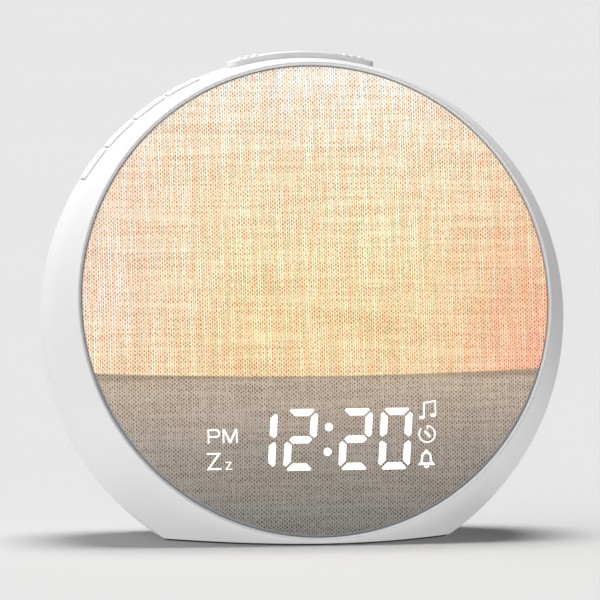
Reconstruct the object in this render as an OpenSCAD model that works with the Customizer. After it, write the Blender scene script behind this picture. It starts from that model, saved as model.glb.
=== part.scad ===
// Sunrise alarm clock: a round drum that leans back, with a glowing cloth face.
// All lengths are in millimetres. The origin lies on the table, under the middle
// of the clock. X runs to the right, Y to the back and Z up.

/* [Face] */
// Radius of the cloth disc
face_r = 75; // [74:0.5:84]
// How far the face leans back, in degrees
face_lean = 9; // [8:0.25:9.5]
// How far the middle of the cloth stands forward of its edge
dome_h = 3; // [1:0.25:3.5]
// How far the edge of the cloth lies behind the rim
face_recess = 0.5; // [0.2:0.1:0.8]
// Thickness of the cloth
cloth_t = 0.7; // [0.4:0.1:1]
// Gap between the cloth and the rim
cloth_gap = 0.3; // [0.2:0.05:0.5]
// Wall of the translucent panel under the cloth
panel_t = 2.2; // [1.6:0.1:2.6]
// Height of the panel's outer edge
panel_edge_h = 2.8; // [2.4:0.1:3.4]
// Thickness of the adhesive tape under the panel
tape_t = 0.5; // [0.3:0.1:0.8]

/* [Housing] */
// Width of the rim round the cloth
rim_w = 1.2; // [1:0.1:1.6]
// Width of the chamfer inside the rim
rim_chamfer = 0.8; // [0.4:0.1:0.9]
// Height of the rim's lowest point above the foot
rim_rise = 1.04; // [0.8:0.02:1.2]
// How much wider the drum is than its rim, all round
bevel_w = 7.1; // [6.8:0.1:9]
// Depth of the bevel at the top of the drum
bevel_d = 3.8; // [3.4:0.1:6]
// Length of the drum's straight side
side_d = 19.6; // [19:0.1:24]
// Depth of the rounding at the back
round_d = 19.9; // [19:0.1:24]
// How far the rounding runs in from the side
round_w = 26; // [23:0.5:28]
// Wall of the housing
wall = 2.4; // [2:0.1:2.6]
// Width of the flat foot
base_w = 93.2; // [92:0.2:94]
// Width of the shelf that the panel lies on
shelf_w = 2.8; // [2.4:0.1:3.2]
// Thickness of that shelf
shelf_t = 2.5; // [2:0.1:3]
// Radius of the bosses for the housing screws
boss_r = 4.2; // [4:0.1:4.6]

/* [Foot] */
// How far the rubber pad stands out of the housing
pad_out = 0.6; // [0.4:0.1:1]
// How deep the rubber pad is let into the housing
pad_in = 0.6; // [0.4:0.1:0.8]
// How much higher the drum is cut to give the pad its smaller outline
pad_inset = 0.7; // [0.4:0.1:1]

/* [Keys] */
// Number of keys in each row
key_count = 4; // [4]
// Distance between keys, round the drum
key_pitch = 12.7; // [12.4:0.1:13]
// Width of a key, round the drum
key_w = 11.3; // [10:0.1:11.5]
// Depth of a key and of the snooze bar
key_d = 10.6; // [9.5:0.1:11]
// Radius of a key's corners
key_corner = 1.6; // [0.8:0.1:2.4]
// Angle from the top of the drum to the middle of a row
key_angle = 40.4; // [40:0.1:41]
// Distance from the crease of the drum to the keys
key_setback = 9.2; // [8.8:0.1:9.4]
// How far a key stands out of the drum
key_out = 0.4; // [0.2:0.1:0.6]
// Gap round each key
key_gap = 0.3; // [0.2:0.05:0.35]
// Width of the lip that keeps a key in its opening
key_lip = 0.9; // [0.7:0.1:1]
// Thickness of that lip
lip_t = 1.2; // [0.8:0.1:1.4]
// Play between the lip and the housing
lip_gap = 0.2; // [0.1:0.05:0.4]
// Radius of the stem under a key
stem_r = 1.3; // [1:0.1:1.4]

/* [Snooze bar] */
// Length of the snooze bar
bar_w = 46.8; // [44:0.2:48]
// How far the snooze bar stands out of the drum
bar_out = 1.75; // [1:0.25:2.5]
// Radius of the bar's corners
bar_corner = 3; // [2:0.5:4.5]
// Distance between the two stems of the bar
bar_stems = 24; // [20:1:28]

/* [Light] */
// Depth of the light frame behind the rim
frame_d = 12; // [11:0.25:12.5]
// Wall of the light frame
frame_t = 1.6; // [1.2:0.1:2]
// Gap between the light frame and the shelf
frame_gap = 0.7; // [0.4:0.1:1]
// How far below the middle of the face the lamp ends
divider_drop = 24.3; // [22:0.1:27]
// How much higher the end of the lamp lies at the rim
divider_rise = 2.1; // [0:0.1:4]
// Distance between the lamp's LEDs
led_pitch = 17; // [15:0.5:20]
// Side of an LED
led_w = 5; // [3:0.5:5]

/* [Display] */
// Height of the digits
digit_h = 19.5; // [16:0.5:21]
// Width of a digit
digit_w = 10.2; // [9:0.1:10.6]
// Distance between two digits of a pair
digit_pitch = 12.9; // [12.6:0.1:13.2]
// Distance between the two pairs, on top of the pitch
colon_w = 4.8; // [4.6:0.1:5.4]
// Width of a segment
segment_t = 2.45; // [2:0.05:2.8]
// Gap between two segments
segment_gap = 0.4; // [0.3:0.05:0.5]
// Slant of the digits, in degrees
digit_slant = 4.2; // [0:0.2:6]
// Distance from the middle of the face down to the middle of the digits
digit_drop = 44.4; // [43.5:0.1:45]
// Place of the display's middle, right of the middle of the face
digit_shift = 2.35; // [1.5:0.05:3]
// Thickness of the digit block
digit_block_t = 5.5; // [4:0.1:5.6]

/* [Electronics] */
// Thickness of every circuit board
board_t = 1.6; // [1:0.1:2]
// Width of the main board
main_board_w = 84; // [80:1:86]
// Height of the main board
main_board_h = 51; // [49:1:52]
// Height of a switch
switch_h = 3.5; // [3:0.1:3.8]
// Side of a switch
switch_w = 6; // [5:0.1:6.4]
// Depth of a key board below the surface of the drum
key_board_depth = 17.6; // [17.1:0.1:18.6]
// Depth of the snooze board below the surface of the drum
bar_board_depth = 13.6; // [13.1:0.1:14.1]
// Radius of the backup cell
cell_r = 10; // [8:0.5:10]
// Thickness of the backup cell
cell_t = 3.2; // [2:0.1:3.4]
// Radius of the power plug's opening
plug_r = 3.2; // [2.8:0.1:3.4]

/* [Speaker] */
// Radius of the speaker
speaker_r = 20; // [18:0.5:21]
// Depth of the speaker's basket
speaker_d = 7; // [6:0.5:8]
// Radius of the speaker's magnet
magnet_r = 11; // [9:0.5:12]
// Height of the speaker's middle above the axis of the drum
speaker_z = 31; // [30:0.5:33]
// Radius of a hole in the grille
grille_hole_r = 1.1; // [0.8:0.1:1.4]
// Distance between the rings of holes
grille_pitch = 4.4; // [4:0.1:4.6]

/* [Cell hatch] */
// Distance from the edge of the main board to the middle of the hatch and of the inlet
hatch_inset = 20; // [19:0.5:21]
// Width of the hatch
hatch_w = 36; // [34:0.5:37]
// Height of the hatch
hatch_h = 26; // [25:0.5:28]
// Thickness of the hatch
hatch_t = 1.6; // [1.2:0.1:1.8]

/* [Hidden] */
$fn = 96;

housing_colour = "gainsboro";
key_colour = "whitesmoke";
board_colour = "darkgreen";
steel_colour = "silver";
black_part_colour = "#202124";

// thickness of the thin discs that span a lofted shape
skin = 0.1;
// length that a cut runs past a face
past = 1;
// play of pieces that drop into one another and never move
fit = 0.15;
// play between a screw and the hole that it cuts its thread in
thread_gap = 0.05;

// face, measured from the plane of the rim
seat_r = face_r + cloth_gap;
rim_r = seat_r + rim_w;
panel_r = face_r - cloth_t;
shelf_r = panel_r - shelf_w;
panel_top = -face_recess - cloth_t;
seat_d = face_recess + cloth_t + panel_edge_h + tape_t;
shelf_back = seat_d + shelf_t;
cavity_front_r = seat_r - face_recess - skin;

// drum, measured along its axis from the middle of the face
body_r = rim_r + bevel_w;
crease_y = rim_r * sin(face_lean) + bevel_d;
side_y = crease_y + side_d;
back_y = side_y + round_d;
front_y = -rim_r * sin(face_lean);
cavity_y = crease_y + wall;
flat_back_r = body_r - round_w;
base_z = pad_out;
floor_z = base_z + wall;
body_z = base_z + sqrt(pow(body_r, 2) - pow(base_w / 2, 2));
face_z = base_z + rim_rise + rim_r * cos(face_lean);
middle_y = (front_y + back_y) / 2;

// keys
key_front_y = crease_y + key_setback;
key_back_y = key_front_y + key_d;
key_mid_y = key_front_y + key_d / 2;
key_turn = key_pitch / body_r * 180 / PI;
inner_r = body_r - wall;
lip_r = inner_r - lip_gap;
cap_r = lip_r - lip_t;
tip_in = 0.4;
switch_bore_d = 2.2;
key_bore_r = stem_r + key_gap;

// boards under the keys, and what holds them
board_boss_r = 2.1;
board_boss_y = key_back_y + key_lip + key_gap + board_boss_r;
board_front_y = key_front_y - 0.5;
key_board_z = body_r - key_board_depth;
bar_board_z = body_r - bar_board_depth;
board_back_y = board_boss_y + board_boss_r;
key_board_w = 50;
bar_board_w = 38;
key_boss_x = 20;
bar_boss_x = 15;
small_screw_r = 0.9;
small_head_r = 1.7;
small_head_h = 1.3;
seam_y = board_back_y + 0.5;

// housing screws
screw_angles = [20, 160, 215, 325];
screw_place_r = inner_r - boss_r + 0.4;
screw_r = 1.45;
screw_head_r = 2.6;
screw_head_h = 2;
screw_seat_t = 3;
screw_l = 14;
boss_front_y = cavity_y + 6;

// light frame
frame_r = shelf_r - frame_gap;
frame_in_r = frame_r - frame_t;
ear_angles = [20, 160, 220, 320];
ear_r = 3;
ear_place_r = shelf_r + ear_r - 0.2;
ear_z = frame_t - frame_d;
board_on_frame_z = ear_z;
ear_screw_r = 1.2;

// display
segment_half_gap = segment_gap / 2;
digit_places = [
    -1.5 * digit_pitch - colon_w / 2, -0.5 * digit_pitch - colon_w / 2,
    0.5 * digit_pitch + colon_w / 2, 1.5 * digit_pitch + colon_w / 2
];
colon_dot_r = 1.3;
colon_rise = 3.9;
digit_block_w = 82;
digit_block_h = 27;
digit_block_z = board_on_frame_z + board_t;
sign_w = 9;
sign_h = 7;
sign_right = 34.5;
sign_left = 31.7;
sign_x = sign_right - digit_shift;
sign_left_x = -sign_left - digit_shift;
sign_pitch = 7.8;

// back
main_board_y = seam_y - 1.5;
main_board_top = -6;
post_r = 3;
post_x = main_board_w / 2 - 4;
post_top = main_board_top - 6;
post_low = main_board_top - main_board_h + 7;
back_in_y = back_y - wall;
jack_x = main_board_w / 2 - hatch_inset;
jack_z = -40;
jack_w = 9.6;
jack_nose_r = plug_r + 1;
jack_l = back_y - 0.3 - main_board_y - board_t;
hatch_x = -jack_x;
hatch_z = -22;
cell_x = hatch_x - 4;
hatch_screw_x = hatch_x + hatch_w / 2 - 4.5;
hatch_gap = 0.3;
cell_wall = 1.5;
gasket_t = 0.8;
flange_t = 1.6;
magnet_t = 4;
chip_w = 12;
chip_t = 1.6;
chip_x = 4;
chip_drop = 30;

// the frame that the whole clock stands in, and those of its face and its drum
module clock_frame() {
    translate([0, -middle_y, 0])
        children();
}

module face_frame() {
    clock_frame()
        translate([0, 0, face_z])
            rotate([90 - face_lean, 0, 0])
                children();
}

module drum_frame() {
    clock_frame()
        translate([0, 0, body_z])
            children();
}

module left_key_frame() {
    drum_frame()
        rotate([0, -key_angle, 0])
            children();
}

// shapes used in several pieces
module disc_y(r, y0, y1) {
    translate([0, y1, 0])
        rotate([90, 0, 0])
            cylinder(r = r, h = y1 - y0);
}

module rounded(w, d, r) {
    square([w - 2 * r, d], center = true);
    square([w, d - 2 * r], center = true);
    for (x = [-1, 1], y = [-1, 1])
        translate([x * (w / 2 - r), y * (d / 2 - r)])
            circle(r = r, $fn = 32);
}

module above(z, h = 400) {
    translate([-200, -200, z])
        cube([400, 400, h]);
}

module in_front(y) {
    clock_frame()
        translate([-200, y - 400, -100])
            cube([400, 400, 400]);
}

module behind(y) {
    clock_frame()
        translate([-200, y, -100])
            cube([400, 400, 400]);
}

module screw(r, length, head_r, head_h) {
    // points down its own Z axis, with its head above zero
    translate([0, 0, -length])
        cylinder(r = r, h = length, $fn = 24);
    difference() {
        cylinder(r = head_r, h = head_h, $fn = 32);
        for (turn = [0, 90])
            rotate([0, 0, turn])
                translate([-head_r * 0.6, -head_r * 0.12, head_h * 0.5])
                    cube([head_r * 1.2, head_r * 0.24, head_h]);
    }
}

// a flat lead of the given thickness along a list of points in a plane
module flat_lead(points, t, w) {
    linear_extrude(w, center = true)
        for (i = [0 : len(points) - 2]) {
            step = points[i + 1] - points[i];
            translate(points[i])
                rotate(atan2(step.y, step.x))
                    translate([0, -t / 2])
                        square([norm(step), t]);
            translate(points[i])
                circle(r = t / 2, $fn = 16);
        }
}

// the drum, inside and outside
function rounding(r, w, d) = [for (a = [0 : 7.5 : 90]) [r - w * (1 - cos(a)), side_y + d * sin(a)]];

module turned_drum(front, r, w, d) {
    rotate([-90, 0, 0])
        rotate_extrude()
            polygon(concat([[0, front], [r, front]], rounding(r, w, d), [[0, side_y + d]]));
}

module bevel(face_offset, r0, r1, y) {
    hull() {
        face_frame()
            translate([0, 0, face_offset])
                cylinder(r = r0, h = skin);
        drum_frame()
            disc_y(r1, y - skin, y);
    }
}

module drum_outside() {
    bevel(-skin, rim_r, body_r, crease_y);
    drum_frame()
        turned_drum(crease_y, body_r, round_w, round_d);
}

module drum_inside() {
    intersection() {
        union() {
            bevel(-shelf_back - skin, cavity_front_r, inner_r, cavity_y);
            drum_frame()
                turned_drum(cavity_y, inner_r, round_w - wall, round_d - wall);
        }
        above(floor_z);
    }
}

module pad_shape(lift, top) {
    intersection() {
        translate([0, 0, lift])
            drum_outside();
        above(0, top);
    }
}

// keys
function key_offset(i) = ((key_count + 1) / 2 - i) * key_turn;
function key_x(i) = body_r * sin(key_offset(i));
function key_chord(i) = key_w * cos(key_offset(i));

module cap(r) {
    // what lies between the underside of the lips and the top surface
    intersection() {
        linear_extrude(body_r + 10)
            children();
        difference() {
            disc_y(r, 0, back_y);
            disc_y(cap_r, -past, back_y + past);
        }
    }
}

module key_opening(i) {
    linear_extrude(body_r + 10)
        translate([key_x(i), key_mid_y])
            rounded(key_chord(i) + 2 * key_gap, key_d + 2 * key_gap, key_corner + key_gap);
}

module stem(x, board_z) {
    foot = board_z + board_t + switch_h - tip_in;
    head = sqrt(pow(cap_r, 2) - pow(x, 2)) + 0.6;
    translate([x, key_mid_y, foot])
        cylinder(r = stem_r, h = head - foot, $fn = 32);
}

module key(i) {
    left_key_frame() {
        cap(body_r + key_out)
            translate([key_x(i), key_mid_y])
                rounded(key_chord(i), key_d, key_corner);
        cap(lip_r)
            translate([key_x(i), key_mid_y])
                square([key_chord(i) - 2 * key_corner, key_d + 2 * key_lip], center = true);
        stem(key_x(i), key_board_z);
    }
}

module key_left(i) {
    color(key_colour)
        key(i);
}

module key_right(i) {
    color(key_colour)
        mirror([1, 0, 0])
            key(i);
}

module snooze_bar() {
    color(key_colour)
        drum_frame() {
            cap(body_r + bar_out)
                translate([0, key_mid_y])
                    rounded(bar_w, key_d, bar_corner);
            cap(lip_r)
                translate([0, key_mid_y])
                    square([bar_w - 2 * bar_corner, key_d + 2 * key_lip], center = true);
            for (x = [-1, 1])
                stem(x * bar_stems / 2, bar_board_z);
        }
}

// boards and switches under the keys
module switch(x, board_z) {
    translate([x, key_mid_y, board_z + board_t])
        difference() {
            translate([-switch_w / 2, -switch_w / 2, 0])
                cube([switch_w, switch_w, switch_h]);
            translate([0, 0, switch_h - switch_bore_d])
                cylinder(r = key_bore_r, h = switch_bore_d + past, $fn = 32);
        }
}

module switch_board(w, z, hole_x) {
    difference() {
        translate([-w / 2, board_front_y, z])
            cube([w, board_back_y - board_front_y, board_t]);
        for (x = [-1, 1])
            translate([x * hole_x, board_boss_y, z - past])
                cylinder(r = small_screw_r + fit, h = board_t + 2 * past, $fn = 24);
    }
}

module board_bosses(z, place_x) {
    for (x = [-1, 1])
        translate([x * place_x, board_boss_y, z + board_t])
            cylinder(r = board_boss_r, h = body_r - z - board_t, $fn = 32);
}

module board_boss_holes(z, place_x) {
    for (x = [-1, 1])
        translate([x * place_x, board_boss_y, z])
            cylinder(r = small_screw_r + thread_gap, h = board_t + 5, $fn = 24);
}

module board_boss_screws(z, place_x) {
    for (x = [-1, 1])
        translate([x * place_x, board_boss_y, z])
            mirror([0, 0, 1])
                screw(small_screw_r, board_t + 4.5, small_head_r, small_head_h);
}

module key_board() {
    left_key_frame()
        switch_board(key_board_w, key_board_z, key_boss_x);
}

module key_switches() {
    left_key_frame()
        for (i = [1 : key_count])
            switch(key_x(i), key_board_z);
}

module key_board_left() {
    color(board_colour)
        key_board();
}

module key_board_right() {
    color(board_colour)
        mirror([1, 0, 0])
            key_board();
}

module key_switches_left() {
    color(black_part_colour)
        key_switches();
}

module key_switches_right() {
    color(black_part_colour)
        mirror([1, 0, 0])
            key_switches();
}

module snooze_board() {
    color(board_colour)
        drum_frame()
            switch_board(bar_board_w, bar_board_z, bar_boss_x);
}

module snooze_switches() {
    color(black_part_colour)
        drum_frame()
            for (x = [-1, 1])
                switch(x * bar_stems / 2, bar_board_z);
}

module key_screws() {
    color(steel_colour) {
        left_key_frame()
            board_boss_screws(key_board_z, key_boss_x);
        mirror([1, 0, 0])
            left_key_frame()
                board_boss_screws(key_board_z, key_boss_x);
        drum_frame()
            board_boss_screws(bar_board_z, bar_boss_x);
    }
}

// housing
module at_screws() {
    for (a = screw_angles)
        translate([screw_place_r * cos(a), 0, screw_place_r * sin(a)])
            children();
}

module at_ears() {
    for (a = ear_angles)
        rotate([0, 0, a])
            translate([ear_place_r, 0, 0])
                children();
}

module housing_bosses() {
    drum_frame() {
        at_screws()
            disc_y(boss_r, boss_front_y, seam_y);
        board_bosses(bar_board_z, bar_boss_x);
    }
    left_key_frame()
        board_bosses(key_board_z, key_boss_x);
    mirror([1, 0, 0])
        left_key_frame()
            board_bosses(key_board_z, key_boss_x);
    face_frame()
        at_ears()
            translate([0, 0, ear_z])
                cylinder(r = ear_r, h = -shelf_back - ear_z + 0.5, $fn = 32);
}

module housing_openings() {
    face_frame() {
        translate([0, 0, -seat_d])
            cylinder(r = seat_r, h = seat_d + past);
        translate([0, 0, -rim_chamfer])
            cylinder(r1 = seat_r, r2 = seat_r + rim_chamfer, h = rim_chamfer + skin);
        translate([0, 0, -shelf_back - past])
            cylinder(r = shelf_r, h = shelf_back);
        at_ears() {
            translate([0, 0, ear_z])
                cylinder(r = ear_screw_r + thread_gap, h = -seat_d - 0.8 - ear_z, $fn = 24);
            translate([0, 0, ear_z - 8])
                cylinder(r = ear_r + 0.5, h = 8, $fn = 32);
        }
    }
    left_key_frame()
        key_row_openings();
    mirror([1, 0, 0])
        left_key_frame()
            key_row_openings();
    drum_frame() {
        linear_extrude(body_r + 10)
            translate([0, key_mid_y])
                rounded(bar_w + 2 * key_gap, key_d + 2 * key_gap, bar_corner + key_gap);
        board_boss_holes(bar_board_z, bar_boss_x);
        at_screws()
            disc_y(screw_r + thread_gap, seam_y - screw_l, seam_y + past);
    }
}

module key_row_openings() {
    for (i = [1 : key_count])
        key_opening(i);
    board_boss_holes(key_board_z, key_boss_x);
}

module front_housing() {
    color(housing_colour)
        difference() {
            union() {
                difference() {
                    intersection() {
                        drum_outside();
                        above(base_z);
                        in_front(seam_y);
                    }
                    drum_inside();
                }
                intersection() {
                    housing_bosses();
                    drum_outside();
                }
            }
            housing_openings();
            pad_shape(pad_inset - fit, base_z + pad_in);
        }
}

module main_board_posts() {
    for (x = [-1, 1], z = [post_top, post_low])
        translate([x * post_x, 0, z])
            disc_y(post_r, main_board_y + board_t, back_in_y + 0.5);
}

module cover_posts() {
    drum_frame()
        intersection() {
            union() {
                at_screws()
                    disc_y(boss_r, seam_y, back_y);
                main_board_posts();
                translate([hatch_screw_x, 0, hatch_z])
                    disc_y(post_r, back_in_y - 4, back_y);
            }
            turned_drum(crease_y, body_r, round_w, round_d);
        }
}

// radius of the drum's inner wall where it rounds to the back
function inner_radius(y) =
    inner_r - (round_w - wall) * (1 - sqrt(1 - pow((y - side_y) / (round_d - wall), 2)));

module cover_tongue() {
    // lip that enters the front housing, between the screw bosses
    tongue_r = inner_radius(seam_y) - fit;
    drum_frame()
        intersection() {
            difference() {
                disc_y(tongue_r, seam_y - 2, seam_y + 2.5);
                disc_y(tongue_r - 1.3, seam_y - 2 - past, seam_y + 2.5 + past);
                at_screws()
                    disc_y(boss_r + key_gap, seam_y - 2 - past, seam_y);
            }
            translate([-200, 0, floor_z - body_z + fit])
                cube([400, 100, body_z - floor_z + 14]);
        }
}

module cover_holes() {
    drum_frame() {
        at_screws() {
            disc_y(screw_r + fit, seam_y - past, back_y);
            disc_y(screw_head_r + key_gap, seam_y + screw_seat_t, back_y + past);
        }
        for (x = [-1, 1], z = [post_top, post_low])
            translate([x * post_x, 0, z])
                disc_y(small_screw_r + thread_gap, main_board_y, back_in_y - 4);
        translate([jack_x, 0, jack_z])
            disc_y(jack_nose_r + fit, back_in_y - past, back_y + past);
        translate([0, 0, speaker_z])
            for (ring = [0 : 3], turn = [1 : max(1, 6 * ring)])
                rotate([0, turn * 60 / max(1, ring), 0])
                    translate([ring * grille_pitch, 0, 0])
                        disc_y(grille_hole_r, back_in_y - past, back_y + past);
        translate([hatch_x, 0, hatch_z])
            rotate([90, 0, 0]) {
                translate([0, 0, -back_y - past])
                    linear_extrude(hatch_t + past)
                        rounded(hatch_w + 2 * hatch_gap, hatch_h + 2 * hatch_gap, 2 + hatch_gap);
                translate([cell_x - hatch_x, 0, -back_y - past])
                    linear_extrude(wall + 2 * past)
                        rounded(2 * cell_r + 3, 2 * cell_r + 3, 3);
            }
        translate([hatch_screw_x, 0, hatch_z])
            disc_y(small_screw_r + thread_gap, back_in_y - 3, back_y);
    }
}

module rear_cover() {
    color(housing_colour)
        difference() {
            union() {
                difference() {
                    intersection() {
                        drum_frame()
                            turned_drum(crease_y, body_r, round_w, round_d);
                        above(base_z);
                        behind(seam_y);
                    }
                    intersection() {
                        drum_frame()
                            turned_drum(cavity_y, inner_r, round_w - wall, round_d - wall);
                        above(floor_z);
                    }
                }
                cover_posts();
                cover_tongue();
            }
            cover_holes();
            pad_shape(pad_inset - fit, base_z + pad_in);
        }
}

module base_pad() {
    color(black_part_colour)
        pad_shape(pad_inset, base_z + pad_in);
}

// face
function dome(r) = dome_h * (1 - pow(r / face_r, 2));

function dome_line(offset, r0, r1, steps = 10) = [
    for (k = [0 : steps]) let (r = r0 + (r1 - r0) * k / steps) [r, offset + dome(r)]
];

module fabric_front() {
    color("tan")
        face_frame()
            rotate_extrude()
                polygon(concat(
                    dome_line(-face_recess, 0, face_r - cloth_t),
                    [[face_r, panel_top], [face_r, panel_top - panel_edge_h]],
                    [[panel_r, panel_top - panel_edge_h]],
                    dome_line(panel_top, panel_r, 0)
                ));
}

module front_panel() {
    color("white")
        face_frame()
            rotate_extrude()
                polygon(concat(
                    dome_line(panel_top, 0, panel_r),
                    [[panel_r, panel_top - panel_edge_h], [shelf_r, panel_top - panel_edge_h]],
                    dome_line(panel_top - panel_t, shelf_r, 0)
                ));
}

module panel_tape() {
    color(black_part_colour)
        face_frame()
            translate([0, 0, -seat_d])
                difference() {
                    cylinder(r = panel_r, h = tape_t);
                    translate([0, 0, -past])
                        cylinder(r = shelf_r, h = tape_t + 2 * past);
                }
}

// lamp
function divider(x) = -divider_drop + divider_rise * pow(x / face_r, 2);

function divider_line(offset, x0, x1, steps = 12) = [
    for (k = [0 : steps]) let (x = x0 + (x1 - x0) * k / steps) [x, divider(x) + offset]
];

module lamp_side(offset) {
    polygon(concat(
        divider_line(offset, -face_r, face_r),
        [[face_r, face_r], [-face_r, face_r]]
    ));
}

module display_side(offset) {
    polygon(concat(
        divider_line(offset, -face_r, face_r),
        [[face_r, -face_r], [-face_r, -face_r]]
    ));
}

module behind_panel() {
    rotate_extrude()
        polygon(concat(
            dome_line(panel_top - panel_t - fit, 0, shelf_r),
            [[shelf_r, -frame_d], [0, -frame_d]]
        ));
}

module light_frame() {
    color("white")
        face_frame() {
            intersection() {
                translate([0, 0, -frame_d])
                    difference() {
                        cylinder(r = frame_r, h = frame_d + dome_h);
                        translate([0, 0, frame_t])
                            linear_extrude(frame_d + dome_h)
                                intersection() {
                                    circle(r = frame_in_r);
                                    union() {
                                        lamp_side(0);
                                        display_side(-frame_t);
                                    }
                                }
                        for (y = [lamp_slot_y, display_slot_y])
                            translate([-lead_slot_w / 2, y - lead_slot_h / 2, -past])
                                cube([lead_slot_w, lead_slot_h, frame_t + 2 * past]);
                    }
                behind_panel();
            }
            for (a = ear_angles)
                rotate([0, 0, a])
                    translate([0, 0, -frame_d])
                        difference() {
                            union() {
                                translate([frame_r - 1, -ear_r, 0])
                                    cube([ear_place_r - frame_r + 1, 2 * ear_r, frame_t]);
                                translate([ear_place_r, 0, 0])
                                    cylinder(r = ear_r, h = frame_t, $fn = 32);
                            }
                            translate([ear_place_r, 0, -past])
                                cylinder(r = ear_screw_r + fit, h = frame_t + 2 * past, $fn = 24);
                        }
        }
}

module frame_screws() {
    color(steel_colour)
        face_frame()
            at_ears()
                translate([0, 0, -frame_d])
                    mirror([0, 0, 1])
                        screw(ear_screw_r, frame_t + 4.5, 2.2, 1.6);
}

module lamp_board() {
    color("ivory")
        face_frame()
            translate([0, 0, board_on_frame_z])
                linear_extrude(board_t)
                    intersection() {
                        circle(r = frame_in_r - fit);
                        lamp_side(fit);
                    }
}

module lamp_leds() {
    reach = frame_in_r - led_w;
    color("gold")
        face_frame()
            for (row = [-4 : 4], column = [-4 : 4])
                let (x = column * led_pitch, y = row * led_pitch + led_pitch / 3)
                    if (norm([x, y]) < reach && y - divider(x) > led_w)
                        translate([x, y, board_on_frame_z + board_t]) {
                            translate([-led_w / 2, -led_w / 2, 0])
                                cube([led_w, led_w, 1]);
                            cylinder(r = led_w * 0.36, h = 1.5, $fn = 24);
                        }
}

// display
function slanted(points) = [for (p = points) [p.x + p.y * tan(digit_slant), p.y]];

// outline of a level segment at the top of a digit, its ends cut at 45 degrees
function level_segment(w, h, t, g) = let (q = t / 3) [
    [-w / 2 + g + 1.6 * q, h], [w / 2 - g - 1.6 * q, h], [w / 2 - g - q, h - q],
    [w / 2 - g - t, h - t], [-w / 2 + g + t, h - t], [-w / 2 + g + q, h - q]
];

// outline of an upright segment, upper right
function upright_segment(w, h, t, g) = let (q = t / 3) [
    [w / 2, h - g - 1.6 * q], [w / 2, g + q], [w / 2 - q, g], [w / 2 - t, t / 2 + g],
    [w / 2 - t, h - t - g], [w / 2 - q, h - q - g]
];

// outline of the level segment in the middle
function middle_segment(w, t, g) = [
    [-w / 2 + t / 2 + g, 0], [-w / 2 + t + g, t / 2], [w / 2 - t - g, t / 2],
    [w / 2 - t / 2 - g, 0], [w / 2 - t - g, -t / 2], [-w / 2 + t + g, -t / 2]
];

function turned(points, sx, sy) = [for (p = points) [p.x * sx, p.y * sy]];

module digit(grow) {
    g = segment_half_gap - grow;
    t = segment_t + 2 * grow;
    w = digit_w + 2 * grow;
    h = digit_h / 2 + grow;
    for (side = [-1, 1])
        polygon(slanted(turned(level_segment(w, h, t, g), 1, side)));
    for (side = [-1, 1], level = [-1, 1])
        polygon(slanted(turned(upright_segment(w, h, t, g), side, level)));
    polygon(slanted(middle_segment(w, t, g)));
}

module display_outline(grow) {
    translate([digit_shift, -digit_drop]) {
        for (x = digit_places)
            translate([x, 0])
                digit(grow);
        for (level = [-1, 1])
            translate([level * colon_rise * tan(digit_slant), level * colon_rise])
                circle(r = colon_dot_r + grow, $fn = 32);
        for (side = [-1, 0, 1])
            translate([sign_x, side * sign_pitch])
                square([sign_w - 2 + 2 * grow, sign_h + 2 * grow], center = true);
        for (side = [0, -1])
            translate([sign_left_x, side * sign_pitch + 1])
                square([sign_w + 2 + 2 * grow, sign_h + 2 * grow], center = true);
    }
}

module display_housing() {
    color("dimgray")
        face_frame()
            translate([0, 0, digit_block_z])
                difference() {
                    linear_extrude(digit_block_t)
                        intersection() {
                            circle(r = frame_in_r - fit);
                            translate([-digit_block_w / 2, -digit_drop - digit_block_h / 2])
                                square([digit_block_w, digit_block_h]);
                        }
                    translate([0, 0, -past])
                        linear_extrude(digit_block_t + 2 * past)
                            display_outline(0);
                }
}

module display_segments() {
    color("white")
        face_frame()
            translate([0, 0, digit_block_z])
                linear_extrude(digit_block_t)
                    display_outline(-0.06);
}

module display_board() {
    color(board_colour)
        face_frame()
            translate([0, 0, board_on_frame_z])
                linear_extrude(board_t)
                    intersection() {
                        circle(r = frame_in_r - fit);
                        display_side(-frame_t - fit);
                    }
}

// electronics at the back
module main_board() {
    color(board_colour)
        drum_frame()
            difference() {
                translate([-main_board_w / 2, main_board_y, main_board_top - main_board_h])
                    cube([main_board_w, board_t, main_board_h]);
                for (x = [-1, 1], z = [post_top, post_low])
                    translate([x * post_x, 0, z])
                        disc_y(small_screw_r + fit, main_board_y - past, main_board_y + board_t + past);
            }
}

module control_chip() {
    color(black_part_colour)
        drum_frame()
            translate([chip_x, main_board_y - chip_t, main_board_top - chip_drop])
                cube([chip_w, chip_t, chip_w]);
}

module board_screws() {
    color(steel_colour)
        drum_frame()
            for (x = [-1, 1], z = [post_top, post_low])
                translate([x * post_x, main_board_y, z])
                    rotate([90, 0, 0])
                        screw(small_screw_r, board_t + 5, small_head_r, small_head_h);
}

module housing_screws() {
    color(steel_colour)
        drum_frame()
            at_screws()
                translate([0, seam_y + screw_seat_t, 0])
                    rotate([-90, 0, 0])
                        screw(screw_r, screw_l - 0.5 + screw_seat_t, screw_head_r, screw_head_h);
}

module dc_jack() {
    color(black_part_colour)
        drum_frame()
            translate([jack_x, main_board_y + board_t, jack_z])
                difference() {
                    union() {
                        translate([-jack_w / 2, 0, -jack_w / 2])
                            cube([jack_w, back_in_y - 0.3 - main_board_y - board_t, jack_w]);
                        disc_y(jack_nose_r, 0, jack_l);
                    }
                    difference() {
                        disc_y(plug_r, jack_l - 9.5, jack_l + past);
                        disc_y(1, jack_l - 9.5 - past, jack_l - 1);
                    }
                }
}

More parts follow.
